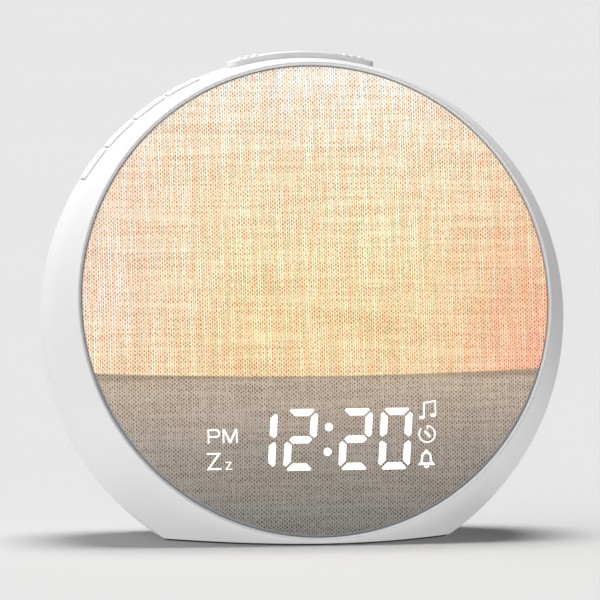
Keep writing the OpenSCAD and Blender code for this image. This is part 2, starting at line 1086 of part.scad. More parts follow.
module cell_holder() {
    color(black_part_colour)
        drum_frame()
            translate([cell_x, main_board_y + board_t, hatch_z])
                difference() {
                    disc_y(cell_r + cell_wall, 0, cell_t + 2);
                    disc_y(cell_r + fit, 2, cell_t + 2 + past);
                }
}

module backup_cell() {
    color(steel_colour)
        drum_frame()
            translate([cell_x, main_board_y + board_t + 2, hatch_z])
                disc_y(cell_r, 0, cell_t);
}

module battery_door() {
    color(housing_colour)
        drum_frame()
            difference() {
                translate([hatch_x, back_y, hatch_z])
                    rotate([90, 0, 0])
                        linear_extrude(hatch_t)
                            rounded(hatch_w, hatch_h, 2);
                translate([hatch_screw_x, 0, hatch_z]) {
                    disc_y(small_screw_r + fit, back_y - hatch_t - past, back_y + past);
                    disc_y(small_head_r + fit, back_y - hatch_t / 2, back_y + past);
                }
            }
}

module door_screw() {
    color(steel_colour)
        drum_frame()
            translate([hatch_screw_x, back_y - hatch_t / 2, hatch_z])
                rotate([-90, 0, 0])
                    screw(small_screw_r, 4.2, small_head_r, hatch_t / 2);
}

// speaker
speaker_back_y = back_in_y - gasket_t;

module speaker_frame() {
    color("dimgray")
        drum_frame()
            translate([0, speaker_back_y, speaker_z])
                rotate([90, 0, 0])
                    rotate_extrude()
                        polygon([
                            [speaker_r, 0], [speaker_r, flange_t], [speaker_r - 3, flange_t],
                            [magnet_r, speaker_d], [0, speaker_d], [0, speaker_d - 1],
                            [magnet_r - 0.8, speaker_d - 1], [speaker_r - 4, flange_t - 1],
                            [speaker_r - 4, 0]
                        ]);
}

module speaker_magnet() {
    color("dimgray")
        drum_frame()
            translate([0, speaker_back_y - speaker_d - magnet_t, speaker_z])
                disc_y(magnet_r, 0, magnet_t);
}

module speaker_cone() {
    color(black_part_colour)
        drum_frame()
            translate([0, speaker_back_y, speaker_z])
                rotate([90, 0, 0])
                    rotate_extrude()
                        polygon([
                            [speaker_r - 4.2, 0], [5, 3.6], [0, 2.6], [0, 3.2], [4.6, 4.2],
                            [speaker_r - 4.2, 0.5]
                        ]);
}

module speaker_gasket() {
    color(black_part_colour)
        drum_frame()
            translate([0, 0, speaker_z])
                difference() {
                    disc_y(speaker_r, speaker_back_y, back_in_y);
                    disc_y(speaker_r - 3, speaker_back_y - past, back_in_y + past);
                }
}

// leads
display_slot_y = -62;
lamp_slot_y = -16;
lead_slot_w = 14;
lead_slot_h = 3;
lead_t = 0.8;
lead_out = 6;
lead_run = 8;

// where a slot of the light frame lies, as depth and height in the clock
function slot_place(y) = [
    y * sin(face_lean) + frame_d * cos(face_lean), face_z + y * cos(face_lean) - frame_d * sin(face_lean)
];

module slot_lead(y, board_end, sag) {
    start = slot_place(y) - (frame_t - lead_t / 2) * [cos(face_lean), -sin(face_lean)];
    bend = slot_place(y) + [lead_out, 0];
    clock_frame()
        rotate([90, 0, 90])
            flat_lead([start, bend, bend + [lead_run, -sag], board_end], lead_t, lead_slot_w - 2);
}

module display_ribbon() {
    color("silver")
        slot_lead(display_slot_y, [main_board_y - lead_t / 2, body_z + main_board_top - main_board_h + 4], 3);
}

module lamp_lead() {
    color("crimson")
        slot_lead(lamp_slot_y, [main_board_y - lead_t / 2, body_z + main_board_top - 3], 4);
}

module speaker_lead() {
    color("crimson")
        drum_frame()
            rotate([90, 0, 90])
                flat_lead([
                    [speaker_back_y - flange_t - lead_t / 2, speaker_z - speaker_r + 1.5],
                    [speaker_back_y - speaker_d, main_board_top + 9],
                    [main_board_y + board_t + lead_t / 2, main_board_top - 3]
                ], lead_t, 4);
}

module key_leads() {
    lead_w = 3.6;
    lead_y = main_board_y - lead_w / 2;
    ends = [
        [-main_board_w / 2 + 4, main_board_top - 2], [-main_board_w / 2 - 12, main_board_top + 12],
        (key_board_z - lead_t / 2) * [-sin(key_angle), cos(key_angle)]
            + (key_board_w / 2 - 1) * [-cos(key_angle), -sin(key_angle)]
    ];
    color("silver")
        drum_frame()
            for (side = [0, 1])
                mirror([side, 0, 0])
                    translate([0, lead_y, 0])
                        rotate([90, 0, 0])
                            flat_lead(ends, lead_t, lead_w);
}

front_housing();
rear_cover();
base_pad();
fabric_front();
front_panel();
panel_tape();
light_frame();
lamp_board();
lamp_leds();
display_housing();
display_segments();
display_board();
main_board();
control_chip();
speaker_frame();
speaker_cone();
speaker_magnet();
speaker_gasket();
dc_jack();
cell_holder();
backup_cell();
battery_door();
door_screw();
housing_screws();
frame_screws();
board_screws();
key_screws();
display_ribbon();
lamp_lead();
speaker_lead();
key_leads();
snooze_bar();
snooze_board();
snooze_switches();
key_left(1);  // key_left_1
key_left(2);  // key_left_2
key_left(3);  // key_left_3
key_left(4);  // key_left_4
key_right(1);  // key_right_1
key_right(2);  // key_right_2
key_right(3);  // key_right_3
key_right(4);  // key_right_4
key_board_left();
key_board_right();
key_switches_left();
key_switches_right();
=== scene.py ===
"""Sunrise alarm clock: a round drum with a glowing cloth face, dressed round its frame."""

import math

import bmesh
import bpy
from mathutils import Matrix, Vector


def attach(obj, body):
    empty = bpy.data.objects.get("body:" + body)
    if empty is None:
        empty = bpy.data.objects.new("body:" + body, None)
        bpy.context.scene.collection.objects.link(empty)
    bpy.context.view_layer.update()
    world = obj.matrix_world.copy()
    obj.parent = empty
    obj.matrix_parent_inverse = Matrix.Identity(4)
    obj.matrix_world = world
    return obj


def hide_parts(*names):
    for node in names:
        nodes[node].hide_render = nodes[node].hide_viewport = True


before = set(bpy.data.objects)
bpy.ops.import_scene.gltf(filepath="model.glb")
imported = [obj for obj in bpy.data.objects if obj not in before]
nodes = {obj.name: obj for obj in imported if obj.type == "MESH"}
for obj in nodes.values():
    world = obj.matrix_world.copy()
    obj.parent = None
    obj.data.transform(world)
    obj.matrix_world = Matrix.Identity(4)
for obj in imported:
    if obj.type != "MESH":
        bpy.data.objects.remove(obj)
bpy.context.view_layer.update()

# sizes in metres, as the frame has them
MM = 0.001
ORIGIN_Y = 21.65 * MM  # from the middle of the face to the middle of the clock, front to back
FACE_LEAN = math.radians(9)
FACE_Z = 77.198 * MM
DRUM_Z = 70.008 * MM
BASE_Z = 0.6 * MM
FLOOR_Z = 3 * MM
DRUM_SEGMENTS = 256
SAME = 1e-3 * MM  # points closer than this are one point
NEAR = 0.01 * MM  # how far off its line an edge may lie and still be picked


# ---------------------------------------------------------------- camera

CAMERA_TARGET = Vector((-5.279, -21.65, 77.43)) * MM
CAMERA_AZIMUTH = math.radians(-9.823)
CAMERA_ELEVATION = math.radians(3.591)
CAMERA_DISTANCE = 2.5
CAMERA_LENS = 472.2
CAMERA_REACH = 20


def place_camera():
    """Looks at the clock from a little to its left and a little above."""
    away = Vector((
        math.sin(CAMERA_AZIMUTH) * math.cos(CAMERA_ELEVATION),
        -math.cos(CAMERA_AZIMUTH) * math.cos(CAMERA_ELEVATION),
        math.sin(CAMERA_ELEVATION),
    ))
    lens = bpy.data.cameras.new("camera")
    lens.lens = CAMERA_LENS
    lens.clip_end = CAMERA_REACH
    camera = bpy.data.objects.new("camera", lens)
    bpy.context.scene.collection.objects.link(camera)
    camera.location = CAMERA_TARGET + CAMERA_DISTANCE * away
    camera.rotation_euler = (-away).to_track_quat("-Z", "Y").to_euler()
    bpy.context.scene.camera = camera


place_camera()


# ---------------------------------------------------------------- frames of the clock

def drum_plane(depth=0.0):
    """The upright plane across the drum at this depth behind the middle of the face."""
    return Matrix.Translation((0, depth - ORIGIN_Y, DRUM_Z)) @ Matrix.Rotation(math.pi / 2, 4, "X")


def face_plane(height=0.0):
    """The leaning plane of the face, this far out of its rim."""
    turn = Matrix.Rotation(math.pi / 2 - FACE_LEAN, 4, "X")
    return Matrix.Translation((0, -ORIGIN_Y, FACE_Z)) @ turn @ Matrix.Translation((0, 0, height))


def shoulder_frame(side):
    """The frame of a row of keys: +Z points out of the drum, +Y to the back."""
    turn = Matrix.Rotation(side * KEY_ANGLE, 4, "Y")
    return Matrix.Translation((0, -ORIGIN_Y, DRUM_Z)) @ turn


def drum_radius(point):
    """Distance of a point from the axis of the drum."""
    return math.hypot(point.x, point.z - DRUM_Z)


def depth_of(point):
    """How far a point lies behind the middle of the face."""
    return point.y + ORIGIN_Y


# ---------------------------------------------------------------- modelling helpers

def pick(*pieces):
    """Selects these pieces alone; the first is the active one."""
    bpy.ops.object.select_all(action="DESELECT")
    for piece in pieces:
        piece.select_set(True)
    bpy.context.view_layer.objects.active = pieces[0]


def fresh(name):
    """Names the piece that was made last."""
    piece = bpy.context.object
    piece.name = name
    piece.data.name = name
    return piece


def joined(name, pieces):
    """Makes the pieces one."""
    pick(*pieces)
    bpy.ops.object.join()
    return fresh(name)


def settle(piece, matrix=None):
    """Puts the piece at its place and applies that to its mesh."""
    if matrix is not None:
        piece.matrix_world = matrix
    pick(piece)
    bpy.ops.object.transform_apply(location=True, rotation=True, scale=True)
    return piece


def open_mesh(piece, kind="FACE"):
    """Edit mode with nothing selected; returns the mesh to select in."""
    pick(piece)
    bpy.ops.object.mode_set(mode="EDIT")
    bpy.ops.mesh.select_mode(type=kind)
    bpy.ops.mesh.select_all(action="DESELECT")
    return bmesh.from_edit_mesh(piece.data)


def close_mesh(piece):
    bmesh.update_edit_mesh(piece.data)
    bpy.ops.object.mode_set(mode="OBJECT")


def edit_all(piece, operator, **settings):
    """Runs one operator on the whole mesh of a piece."""
    open_mesh(piece)
    bpy.ops.mesh.select_all(action="SELECT")
    operator(**settings)
    close_mesh(piece)
    return piece


def outward(piece):
    return edit_all(piece, bpy.ops.mesh.normals_make_consistent, inside=False)


def merge_doubles(piece):
    return edit_all(piece, bpy.ops.mesh.remove_doubles, threshold=SAME)


def cut_off_below(piece, height):
    """Flattens the underside of a piece at this height above the table."""
    return edit_all(
        piece, bpy.ops.mesh.bisect,
        plane_co=(0, 0, height), plane_no=(0, 0, -1), use_fill=True, clear_outer=True,
    )


def choose_edges(mesh, piece, test):
    for edge in mesh.edges:
        edge.select_set(test(edge))
    bmesh.update_edit_mesh(piece.data)


def middle_of(edge):
    return (edge.verts[0].co + edge.verts[1].co) / 2


def is_sharp(edge, degrees=50):
    return len(edge.link_faces) == 2 and edge.calc_face_angle(0) > math.radians(degrees)


def soften(piece, width, test, segments=3):
    """Rounds the edges that the test picks."""
    mesh = open_mesh(piece, "EDGE")
    choose_edges(mesh, piece, test)
    bpy.ops.mesh.bevel(offset=width, segments=segments, clamp_overlap=True)
    close_mesh(piece)


def smooth(piece, angle=30):
    pick(piece)
    bpy.ops.object.shade_smooth_by_angle(angle=math.radians(angle))


def apply_modifier(piece, kind, **settings):
    modifier = piece.modifiers.new(kind.lower(), kind)
    for name, value in settings.items():
        setattr(modifier, name, value)
    pick(piece)
    bpy.ops.object.modifier_apply(modifier=modifier.name)


def combine(piece, tool, operation="DIFFERENCE"):
    """Cuts the tool out of the piece, adds it or keeps what both share, and drops the tool."""
    apply_modifier(piece, "BOOLEAN", object=tool, operation=operation, solver="EXACT")
    bpy.data.objects.remove(tool)
    return piece


def ring_edges(mesh, plane, radius):
    """The edges of the ring of this radius in this plane."""
    flat = plane.inverted()
    found = []
    for edge in mesh.edges:
        spots = [flat @ vert.co for vert in edge.verts]
        if all(abs(s.z) < SAME and abs(s.xy.length - radius) < SAME for s in spots):
            found.append(edge)
    return found


def pick_rings(piece, *rings):
    """Selects these rings of the open mesh and nothing else."""
    bpy.ops.mesh.select_all(action="DESELECT")
    mesh = bmesh.from_edit_mesh(piece.data)
    for ring in rings:
        for edge in ring_edges(mesh, *ring):
            edge.select_set(True)


def loft(name, rings, capped=True, segments=DRUM_SEGMENTS):
    """A skin through rings, each a plane and a radius, with flat ends."""
    circles = []
    for plane, radius in rings:
        bpy.ops.object.select_all(action="DESELECT")
        bpy.ops.mesh.primitive_circle_add(vertices=segments, radius=radius, fill_type="NOTHING")
        circles.append(settle(bpy.context.object, plane))
    piece = joined(name, circles)
    open_mesh(piece, "EDGE")
    for pair in zip(rings, rings[1:]):
        pick_rings(piece, *pair)
        bpy.ops.mesh.bridge_edge_loops()
    if capped:
        for end in (rings[0], rings[-1]):
            pick_rings(piece, end)
            bpy.ops.mesh.edge_face_add()
    close_mesh(piece)
    return outward(piece)


def rounded_block(name, size, corner, plane, segments=8):
    """A block with its upright edges rounded, centred on the plane's origin."""
    bpy.ops.object.select_all(action="DESELECT")
    bpy.ops.mesh.primitive_cube_add(size=1, scale=size)
    piece = settle(fresh(name))

    def upright(edge):
        along = edge.verts[0].co - edge.verts[1].co
        return abs(along.normalized().z) > 0.9

    mesh = open_mesh(piece, "EDGE")
    choose_edges(mesh, piece, upright)
    bpy.ops.mesh.bevel(offset=corner, segments=segments)
    close_mesh(piece)
    return settle(piece, plane)


def copy_of(name):
    """The solid of this name as one closed piece that can be worked on."""
    piece = nodes[name].copy()
    piece.data = nodes[name].data.copy()
    for key in list(piece.keys()):
        del piece[key]
    piece.parent = None
    piece.matrix_world = Matrix.Identity(4)
    bpy.context.scene.collection.objects.link(piece)
    piece.name = "shaped_" + name
    piece.data.name = piece.name
    piece.data.materials.clear()
    return merge_doubles(piece)


# ---------------------------------------------------------------- housing

RIM_R = 76.5 * MM  # edge of the face, where the bevel starts
SEAT_R = 75.3 * MM  # the hole that the cloth sits in
SHELF_R = 71.5 * MM  # the hole in the shelf behind it
CHAMFER = 0.8 * MM
SEAT_D = 4.5 * MM  # from the face to the shelf
SHELF_BACK = 7 * MM  # from the face to the back of the shelf
CAVITY_FRONT_R = 74.7 * MM
DRUM_R = 83.6 * MM
INNER_R = 81.2 * MM
CREASE_Y = 15.767 * MM  # where the bevel meets the side of the drum
CAVITY_Y = 18.167 * MM  # where the room inside is at its widest
SIDE_Y = 35.367 * MM  # where the side starts to round off
SEAM_Y = 41.467 * MM  # where the rear cover starts
SIDE_DEPTHS = [SIDE_Y + (SEAM_Y - SIDE_Y) * k / 4 for k in range(5)]
ROUND_W, ROUND_D = 26 * MM, 19.9 * MM  # how far the rounding runs inwards and backwards
BACK_STEPS = 24
SKIN_INSET = 0.08 * MM
WALL = 2.4 * MM
CREASE_ROUND = 1.6 * MM
FOOT_ROUND = 0.3 * MM
MOUTH_ROUND = 0.25 * MM
SEAM_ROUND = 0.2 * MM
SEAM_FROM_R = 82 * MM
# how far the cutting solids reach past what they cut
HOLLOW_PAST, SEAT_PAST, SKIN_PAST = 2 * MM, 1 * MM, 5 * MM

KEY_ANGLE = math.radians(40.4)
KEY_MID_Y = 30.267 * MM
KEY_W, KEY_D = 11.3 * MM, 10.6 * MM
KEY_CORNER = 1.6 * MM
KEY_GAP = 0.3 * MM
KEY_TURN = 12.7 * MM / DRUM_R  # from key to key round the drum
KEY_COUNT = 4
KEY_TOP_R = DRUM_R + 0.4 * MM
KEY_ROUND = 0.35 * MM
KEY_BAND = (20 * MM, 38 * MM)  # between these depths lie the openings
BAR_W = 46.8 * MM
BAR_CORNER = 3 * MM
BAR_TOP_R = DRUM_R + 1.75 * MM
BAR_ROUND = 0.7 * MM
CUT_H = 30 * MM  # height of the blocks that cut the openings


def rounding_radius(depth, inset=0.0):
    """Radius of the drum at a depth in the rounding at its back."""
    rise = min(1, (depth - SIDE_Y) / (ROUND_D - inset))
    return DRUM_R - inset - (ROUND_W - inset) * (1 - math.sqrt(1 - rise * rise))


def key_shapes():
    """Name, middle across, width, corner and frame of each opening in the drum."""
    shapes = [("snooze_bar", 0.0, BAR_W, BAR_CORNER, Matrix.Translation((0, -ORIGIN_Y, DRUM_Z)))]
    for side, word in ((-1, "left"), (1, "right")):
        for i in range(1, KEY_COUNT + 1):
            # key 1 lies nearest to the snooze bar
            turn = ((KEY_COUNT + 1) / 2 - i) * KEY_TURN
            across = -side * DRUM_R * math.sin(turn)
            width = KEY_W * math.cos(turn)
            shapes.append((f"key_{word}_{i}", across, width, KEY_CORNER, shoulder_frame(side)))
    return shapes


def make_drum():
    """The outside of the front housing as a solid, its crease and its foot rounded."""
    rings = [(face_plane(), RIM_R), (drum_plane(CREASE_Y), DRUM_R)]
    rings += [(drum_plane(y), rounding_radius(y)) for y in SIDE_DEPTHS]
    piece = loft("front_shell", rings)

    def at_crease(edge):
        return all(abs(depth_of(vert.co) - CREASE_Y) < NEAR for vert in edge.verts)

    def at_foot(edge):
        low = all(abs(vert.co.z - BASE_Z) < NEAR for vert in edge.verts)
        before_seam = depth_of(edge.verts[0].co) < SEAM_Y - 0.1 * MM
        return low and before_seam and is_sharp(edge, 20)

    soften(piece, CREASE_ROUND, at_crease, 5)
    cut_off_below(piece, BASE_Z)
    soften(piece, FOOT_ROUND, at_foot, 2)
    return piece


def make_hollow():
    """The room inside the front housing."""
    rings = [(face_plane(-SHELF_BACK), CAVITY_FRONT_R), (drum_plane(CAVITY_Y), INNER_R)]
    rings += [(drum_plane(y), rounding_radius(y, WALL)) for y in SIDE_DEPTHS]
    rings += [(drum_plane(SEAM_Y + HOLLOW_PAST), rounding_radius(SEAM_Y, WALL))]
    return cut_off_below(loft("hollow", rings), FLOOR_Z)


def make_seat():
    """The stepped hole in the front that the panel and the cloth sit in."""
    return loft("seat", [
        (face_plane(SEAT_PAST), SEAT_R + CHAMFER + SEAT_PAST),
        (face_plane(-CHAMFER), SEAT_R),
        (face_plane(-SEAT_D), SEAT_R),
        (face_plane(-SEAT_D - NEAR), SHELF_R),
        (face_plane(-SHELF_BACK - SEAT_PAST), SHELF_R),
    ])


def soften_mouths(piece):
    """Rounds the edges of the key openings and of the rim."""
    def key_edge(edge):
        middle = middle_of(edge)
        far_out = drum_radius(middle) > DRUM_R - 0.3 * MM
        return far_out and KEY_BAND[0] < depth_of(middle) < KEY_BAND[1] and is_sharp(edge)

    def rim_edge(edge):
        local = face_plane().inverted() @ middle_of(edge)
        return abs(local.z) < 2 * NEAR and local.xy.length > RIM_R - 0.1 * MM

    soften(piece, MOUTH_ROUND, key_edge, 2)
    soften(piece, MOUTH_ROUND, rim_edge, 3)


def make_front_housing():
    piece = make_drum()
    combine(piece, make_hollow())
    combine(piece, make_seat())
    combine(piece, copy_of("base_pad"))
    for name, across, width, corner, place in key_shapes():
        size = (width + 2 * KEY_GAP, KEY_D + 2 * KEY_GAP, CUT_H)
        spot = place @ Matrix.Translation((across, KEY_MID_Y, DRUM_R))
        combine(piece, rounded_block("opening", size, corner + KEY_GAP, spot))
    soften_mouths(piece)
    smooth(piece, 35)
    apply_modifier(piece, "WEIGHTED_NORMAL", keep_sharp=True)
    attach(piece, "clock")
    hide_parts("front_housing")
    return piece


def back_skin():
    """A smooth solid just inside the outside of the rear cover."""
    deep = ROUND_D - SKIN_INSET
    first = math.asin((SEAM_Y - SIDE_Y) / deep)
    turns = [first + (math.pi / 2 - first) * k / BACK_STEPS for k in range(BACK_STEPS + 1)]
    rings = [(drum_plane(SEAM_Y - SKIN_PAST), DRUM_R - SKIN_INSET)]
    for depth in [SIDE_Y + deep * math.sin(turn) for turn in turns]:
        rings.append((drum_plane(depth), rounding_radius(depth, SKIN_INSET)))
    return loft("back_skin", rings)


def make_rear_cover():
    piece = combine(copy_of("rear_cover"), back_skin(), "INTERSECT")

    def seam_edge(edge):
        middle = middle_of(edge)
        at_seam = abs(depth_of(middle) - SEAM_Y) < 2 * NEAR
        return at_seam and drum_radius(middle) > SEAM_FROM_R and is_sharp(edge, 60)

    soften(piece, SEAM_ROUND, seam_edge, 2)
    smooth(piece, 30)
    apply_modifier(piece, "WEIGHTED_NORMAL", keep_sharp=True)
    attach(piece, "clock")
    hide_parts("rear_cover")
    return piece


def make_key(name):
    piece = copy_of(name)
    top_r = BAR_TOP_R if name == "snooze_bar" else KEY_TOP_R

    def top_edge(edge):
        return drum_radius(middle_of(edge)) > top_r - 0.05 * MM and is_sharp(edge)

    soften(piece, BAR_ROUND if name == "snooze_bar" else KEY_ROUND, top_edge, 4)
    smooth(piece, 35)
    apply_modifier(piece, "WEIGHTED_NORMAL", keep_sharp=True)
    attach(piece, name)
    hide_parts(name)
    return piece


front_shell = make_front_housing()
rear_shell = make_rear_cover()
keys = [make_key(name) for name, *_ in key_shapes()]


# ---------------------------------------------------------------- snooze bar ribs

RIB_W, RIB_L, RIB_T = 1.3 * MM, 4.6 * MM, 1 * MM
RIB_OUT = 0.5 * MM
RIB_CORNER = RIB_W * 0.49
RIB_ROUND = 0.3 * MM
RIB_PLACES = [side * across * MM for side in (-1, 1) for across in (14.6, 17.1, 19.6)]


def make_bar_ribs():
    """Six short ribs that a finger finds in the dark, three near each end of the bar."""
    axis = Matrix.Translation((0, KEY_MID_Y - ORIGIN_Y, DRUM_Z))
    lift = Matrix.Translation((0, 0, BAR_TOP_R + RIB_OUT - RIB_T / 2))

    def at_top(edge):
        return min(vert.co.z for vert in edge.verts) > 0.4 * RIB_T

    ribs = []
    for across in RIB_PLACES:
        turn = Matrix.Rotation(math.asin(across / BAR_TOP_R), 4, "Y")
        rib = rounded_block("rib", (RIB_W, RIB_L, RIB_T), RIB_CORNER, Matrix(), 6)
        soften(rib, RIB_ROUND, at_top, 3)
        ribs.append(settle(rib, axis @ turn @ lift))
    piece = joined("snooze_ribs", ribs)
    smooth(piece, 40)
    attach(piece, "snooze_bar")
    return piece


# ---------------------------------------------------------------- cloth

CLOTH_R = 75.2 * MM
CLOTH_T = 0.5 * MM
DOME_H = 3 * MM  # rise of the middle over the edge
RECESS = 0.5 * MM  # how far the edge lies below the rim
CLOTH_RINGS = 24
CLOTH_SEGMENTS = 192
CLOTH_EDGE_R = 0.6 * MM
CLOTH_EDGE_TURNS = (30, 60, 90)
CLOTH_WRAP = 2.8 * MM  # how far it is pulled down round the panel


def dome(radius):
    """How far the cloth stands out of the rim's plane."""
    return DOME_H * (1 - (radius / CLOTH_R) ** 2) - RECESS


def cloth_rings():
    """Rings of the cloth, from its middle over its rolled edge down to its hem."""
    flat_r = CLOTH_R - CLOTH_EDGE_R
    radii = [flat_r * k / CLOTH_RINGS for k in range(1, CLOTH_RINGS + 1)]
    rings = [(face_plane(dome(r)), r) for r in radii]
    for turn in map(math.radians, CLOTH_EDGE_TURNS):
        drop = CLOTH_EDGE_R * (1 - math.cos(turn))
        rings.append((face_plane(dome(flat_r) - drop), flat_r + CLOTH_EDGE_R * math.sin(turn)))
    rings.append((face_plane(dome(flat_r) - CLOTH_WRAP), CLOTH_R))
    return rings


def close_middle(piece, radius):
    """Fills the hole inside the innermost ring."""
    flat = face_plane().inverted()

    def inside(edge):
        return all((flat @ vert.co).xy.length < radius for vert in edge.verts)

    mesh = open_mesh(piece, "EDGE")
    choose_edges(mesh, piece, inside)
    bpy.ops.mesh.edge_face_add()
    bpy.ops.mesh.poke()
    close_mesh(piece)
    return outward(piece)


def make_cloth():
    """The cloth disc, stretched over the domed panel and pulled down round its edge."""
    rings = cloth_rings()
    piece = loft("cloth_face", rings, capped=False, segments=CLOTH_SEGMENTS)
    close_middle(piece, rings[0][1] + NEAR)
    facing = (face_plane().inverted().to_3x3() @ piece.data.polygons[0].normal).z
    apply_modifier(piece, "SOLIDIFY", thickness=CLOTH_T * (1 if facing > 0 else -1), offset=-1)
    outward(piece)
    smooth(piece, 60)
    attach(piece, "clock")
    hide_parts("fabric_front")
    return piece


# ---------------------------------------------------------------- what the display lights up

GLOW_T = 0.08 * MM
GLOW_LIFT = 0.03 * MM  # from the cloth to the middle of the lit plates

# the signs below are drawn in millimetres, from the middle of the face
DIGIT_W, DIGIT_H = 10.2, 19.5
SEGMENT_T, SEGMENT_GAP = 2.25, 0.6
SEGMENT_CORNER = 0.12
SLANT = math.tan(math.radians(4.2))
DISPLAY_X, DISPLAY_Y = 2.35, -44.4
DIGIT_PLACES = (-21.75, -8.85, 8.85, 21.75)
COLON_R, COLON_RISE = 1.28, 3.9
TIME_SHOWN = "1220"
LIT = {
    "1": ("upper right", "lower right"),
    "2": ("top", "upper right", "middle", "lower left", "bottom"),
    "0": ("top", "upper right", "lower right", "bottom", "lower left", "upper left"),
}
DOT_TURN, DOT_STEPS = 345, 23  # a full round outline, without its first point twice
CAPITAL_SHARE = 0.73  # height of a capital in a text of size 1
LETTER_THINNING = -0.09 * MM


def mirrored(points, along_x, along_y):
    return [(x * along_x, y * along_y) for x, y in points]


def segment_outlines():
    """Outline of each segment of an upright digit, round the digit's middle."""
    w, h, t, g = DIGIT_W / 2, DIGIT_H / 2, SEGMENT_T, SEGMENT_GAP
    q = t / 3
    level = [
        (-w + g + 1.2 * q, h), (w - g - 1.2 * q, h), (w - g - 0.7 * q, h - 0.7 * q),
        (w - g - t, h - t), (-w + g + t, h - t), (-w + g + 0.7 * q, h - 0.7 * q),
    ]
    upright = [
        (w, h - g - 1.6 * q), (w, g + q), (w - q, g),
        (w - t, t / 2 + g), (w - t, h - t - g), (w - q, h - q - g),
    ]
    m = g / 2
    middle = [
        (-w + t / 2 + m, 0), (-w + t + m, t / 2), (w - t - m, t / 2),
        (w - t / 2 - m, 0), (w - t - m, -t / 2), (-w + t + m, -t / 2),
    ]
    return {
        "top": level,
        "bottom": mirrored(level, 1, -1),
        "middle": middle,
        "upper right": upright,
        "lower right": mirrored(upright, 1, -1),
        "upper left": mirrored(upright, -1, 1),
        "lower left": mirrored(upright, -1, -1),
    }


def arc(x, y, radius, start, end, steps=24, flat=1.0):
    """Points of an arc, in degrees; flat squeezes it in height."""
    turns = [math.radians(start + (end - start) * k / steps) for k in range(steps + 1)]
    return [(x + radius * math.cos(a), y + radius * flat * math.sin(a)) for a in turns]


def dot(x, y, radius, flat=1.0):
    return arc(x, y, radius, 0, DOT_TURN, DOT_STEPS, flat)


def both_sides(x, foot, half):
    """A closed outline from the points of its right half, mirrored about x."""
    left = [(x - px, foot + py) for px, py in half]
    return left + [(x + px, foot + py) for px, py in reversed(half)]


def rounded_outline(points, cut):
    """The outline with each corner cut to a short arc."""
    made = []
    for before, here, after in zip(points[-1:] + points[:-1], points, points[1:] + points[:1]):
        spot = Vector(here)
        towards = [(Vector(p) - spot) for p in (before, after)]
        ends = [spot + d.normalized() * min(cut, d.length / 3) for d in towards]
        inner = (ends[0] + ends[1] + 2 * spot) / 4
        made += [tuple(ends[0]), tuple(inner), tuple(ends[1])]
    return made


def drape(piece):
    """Lays a flat piece, drawn in the face's plane, on the domed cloth."""
    for vert in piece.data.vertices:
        vert.co.z += dome(vert.co.xy.length) + GLOW_LIFT
    settle(piece, face_plane())
    outward(piece)
    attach(piece, "clock")
    return piece


def as_mesh(name, curve):
    """Turns an outline or a text into a closed piece."""
    piece = bpy.data.objects.new(name, curve)
    bpy.context.scene.collection.objects.link(piece)
    pick(piece)
    bpy.ops.object.convert(target="MESH")
    return merge_doubles(fresh(name))


def plate(name, outlines):
    """A thin plate with these outlines; one inside another is a hole."""
    curve = bpy.data.curves.new(name, "CURVE")
    curve.dimensions = "2D"
    curve.fill_mode = "BOTH"
    curve.extrude = GLOW_T / 2
    for points in outlines:
        spline = curve.splines.new("POLY")
        spline.points.add(len(points) - 1)
        for spot, (x, y) in zip(spline.points, points):
            spot.co = (x * MM, y * MM, 0, 1)
        spline.use_cyclic_u = True
    return as_mesh(name, curve)


def make_digits():
    shapes = segment_outlines()
    outlines = []
    for place, figure in zip(DIGIT_PLACES, TIME_SHOWN):
        for part in LIT[figure]:
            slanted = [(DISPLAY_X + place + x + y * SLANT, DISPLAY_Y + y) for x, y in shapes[part]]
            outlines.append(rounded_outline(slanted, SEGMENT_CORNER))
    for level in (-COLON_RISE, COLON_RISE):
        outlines.append(dot(DISPLAY_X + level * SLANT, DISPLAY_Y + level, COLON_R))
    return drape(plate("lit_time", outlines))


def letters(name, words, left, foot, height):
    """Plain letters with their lower left corner at left, foot."""
    text = bpy.data.curves.new(name, "FONT")
    text.body = words
    text.size = height / CAPITAL_SHARE * MM
    text.extrude = GLOW_T / 2
    text.offset = LETTER_THINNING
    text.resolution_u = 6
    piece = as_mesh(name, text)
    low = Vector([min(v.co[k] for v in piece.data.vertices) for k in range(2)] + [0])
    for vert in piece.data.vertices:
        vert.co += Vector((left * MM, foot * MM, 0)) - low
    return piece


def make_sleep_sign():
    """Sign of the sleep timer: a large and a small Z."""
    large = letters("large_z", "Z", -36.7, -53.5, 5.9)
    small = letters("small_z", "z", -30.7, -53.5, 4.3)
    return drape(joined("lit_sleep", [large, small]))


def make_pm():
    """The wide, thin letters P and M."""
    x, y = -36.2, -45.1
    high, stroke, round_r = 4.45, 0.48, 1.35
    p_wide, m_wide, lean = 3.95, 4.7, 0.66
    mid_x, mid_y = x + p_wide - round_r, y + high - round_r
    outside = [(x, y), (x + stroke, y), (x + stroke, mid_y - round_r)]
    outside += arc(mid_x, mid_y, round_r, -90, 90, 16) + [(x, y + high)]
    hollow = [(x + stroke, mid_y - round_r + stroke)]
    hollow += arc(mid_x, mid_y, round_r - stroke, -90, 90, 16) + [(x + stroke, y + high - stroke)]
    m_left = x + p_wide + 0.8
    half = [(0, 0), (stroke, 0), (stroke, high - 1.0), (m_wide / 2 - 0.25, 0)]
    upper = [(m_wide - lean, high), (m_wide / 2, 0.95), (lean, high)]
    around = half + [(m_wide - px, py) for px, py in reversed(half)]
    around += [(m_wide, high)] + upper + [(0, high)]
    letter_m = [(m_left + px, y + py) for px, py in around]
    return drape(plate("lit_pm", [outside, hollow, letter_m]))


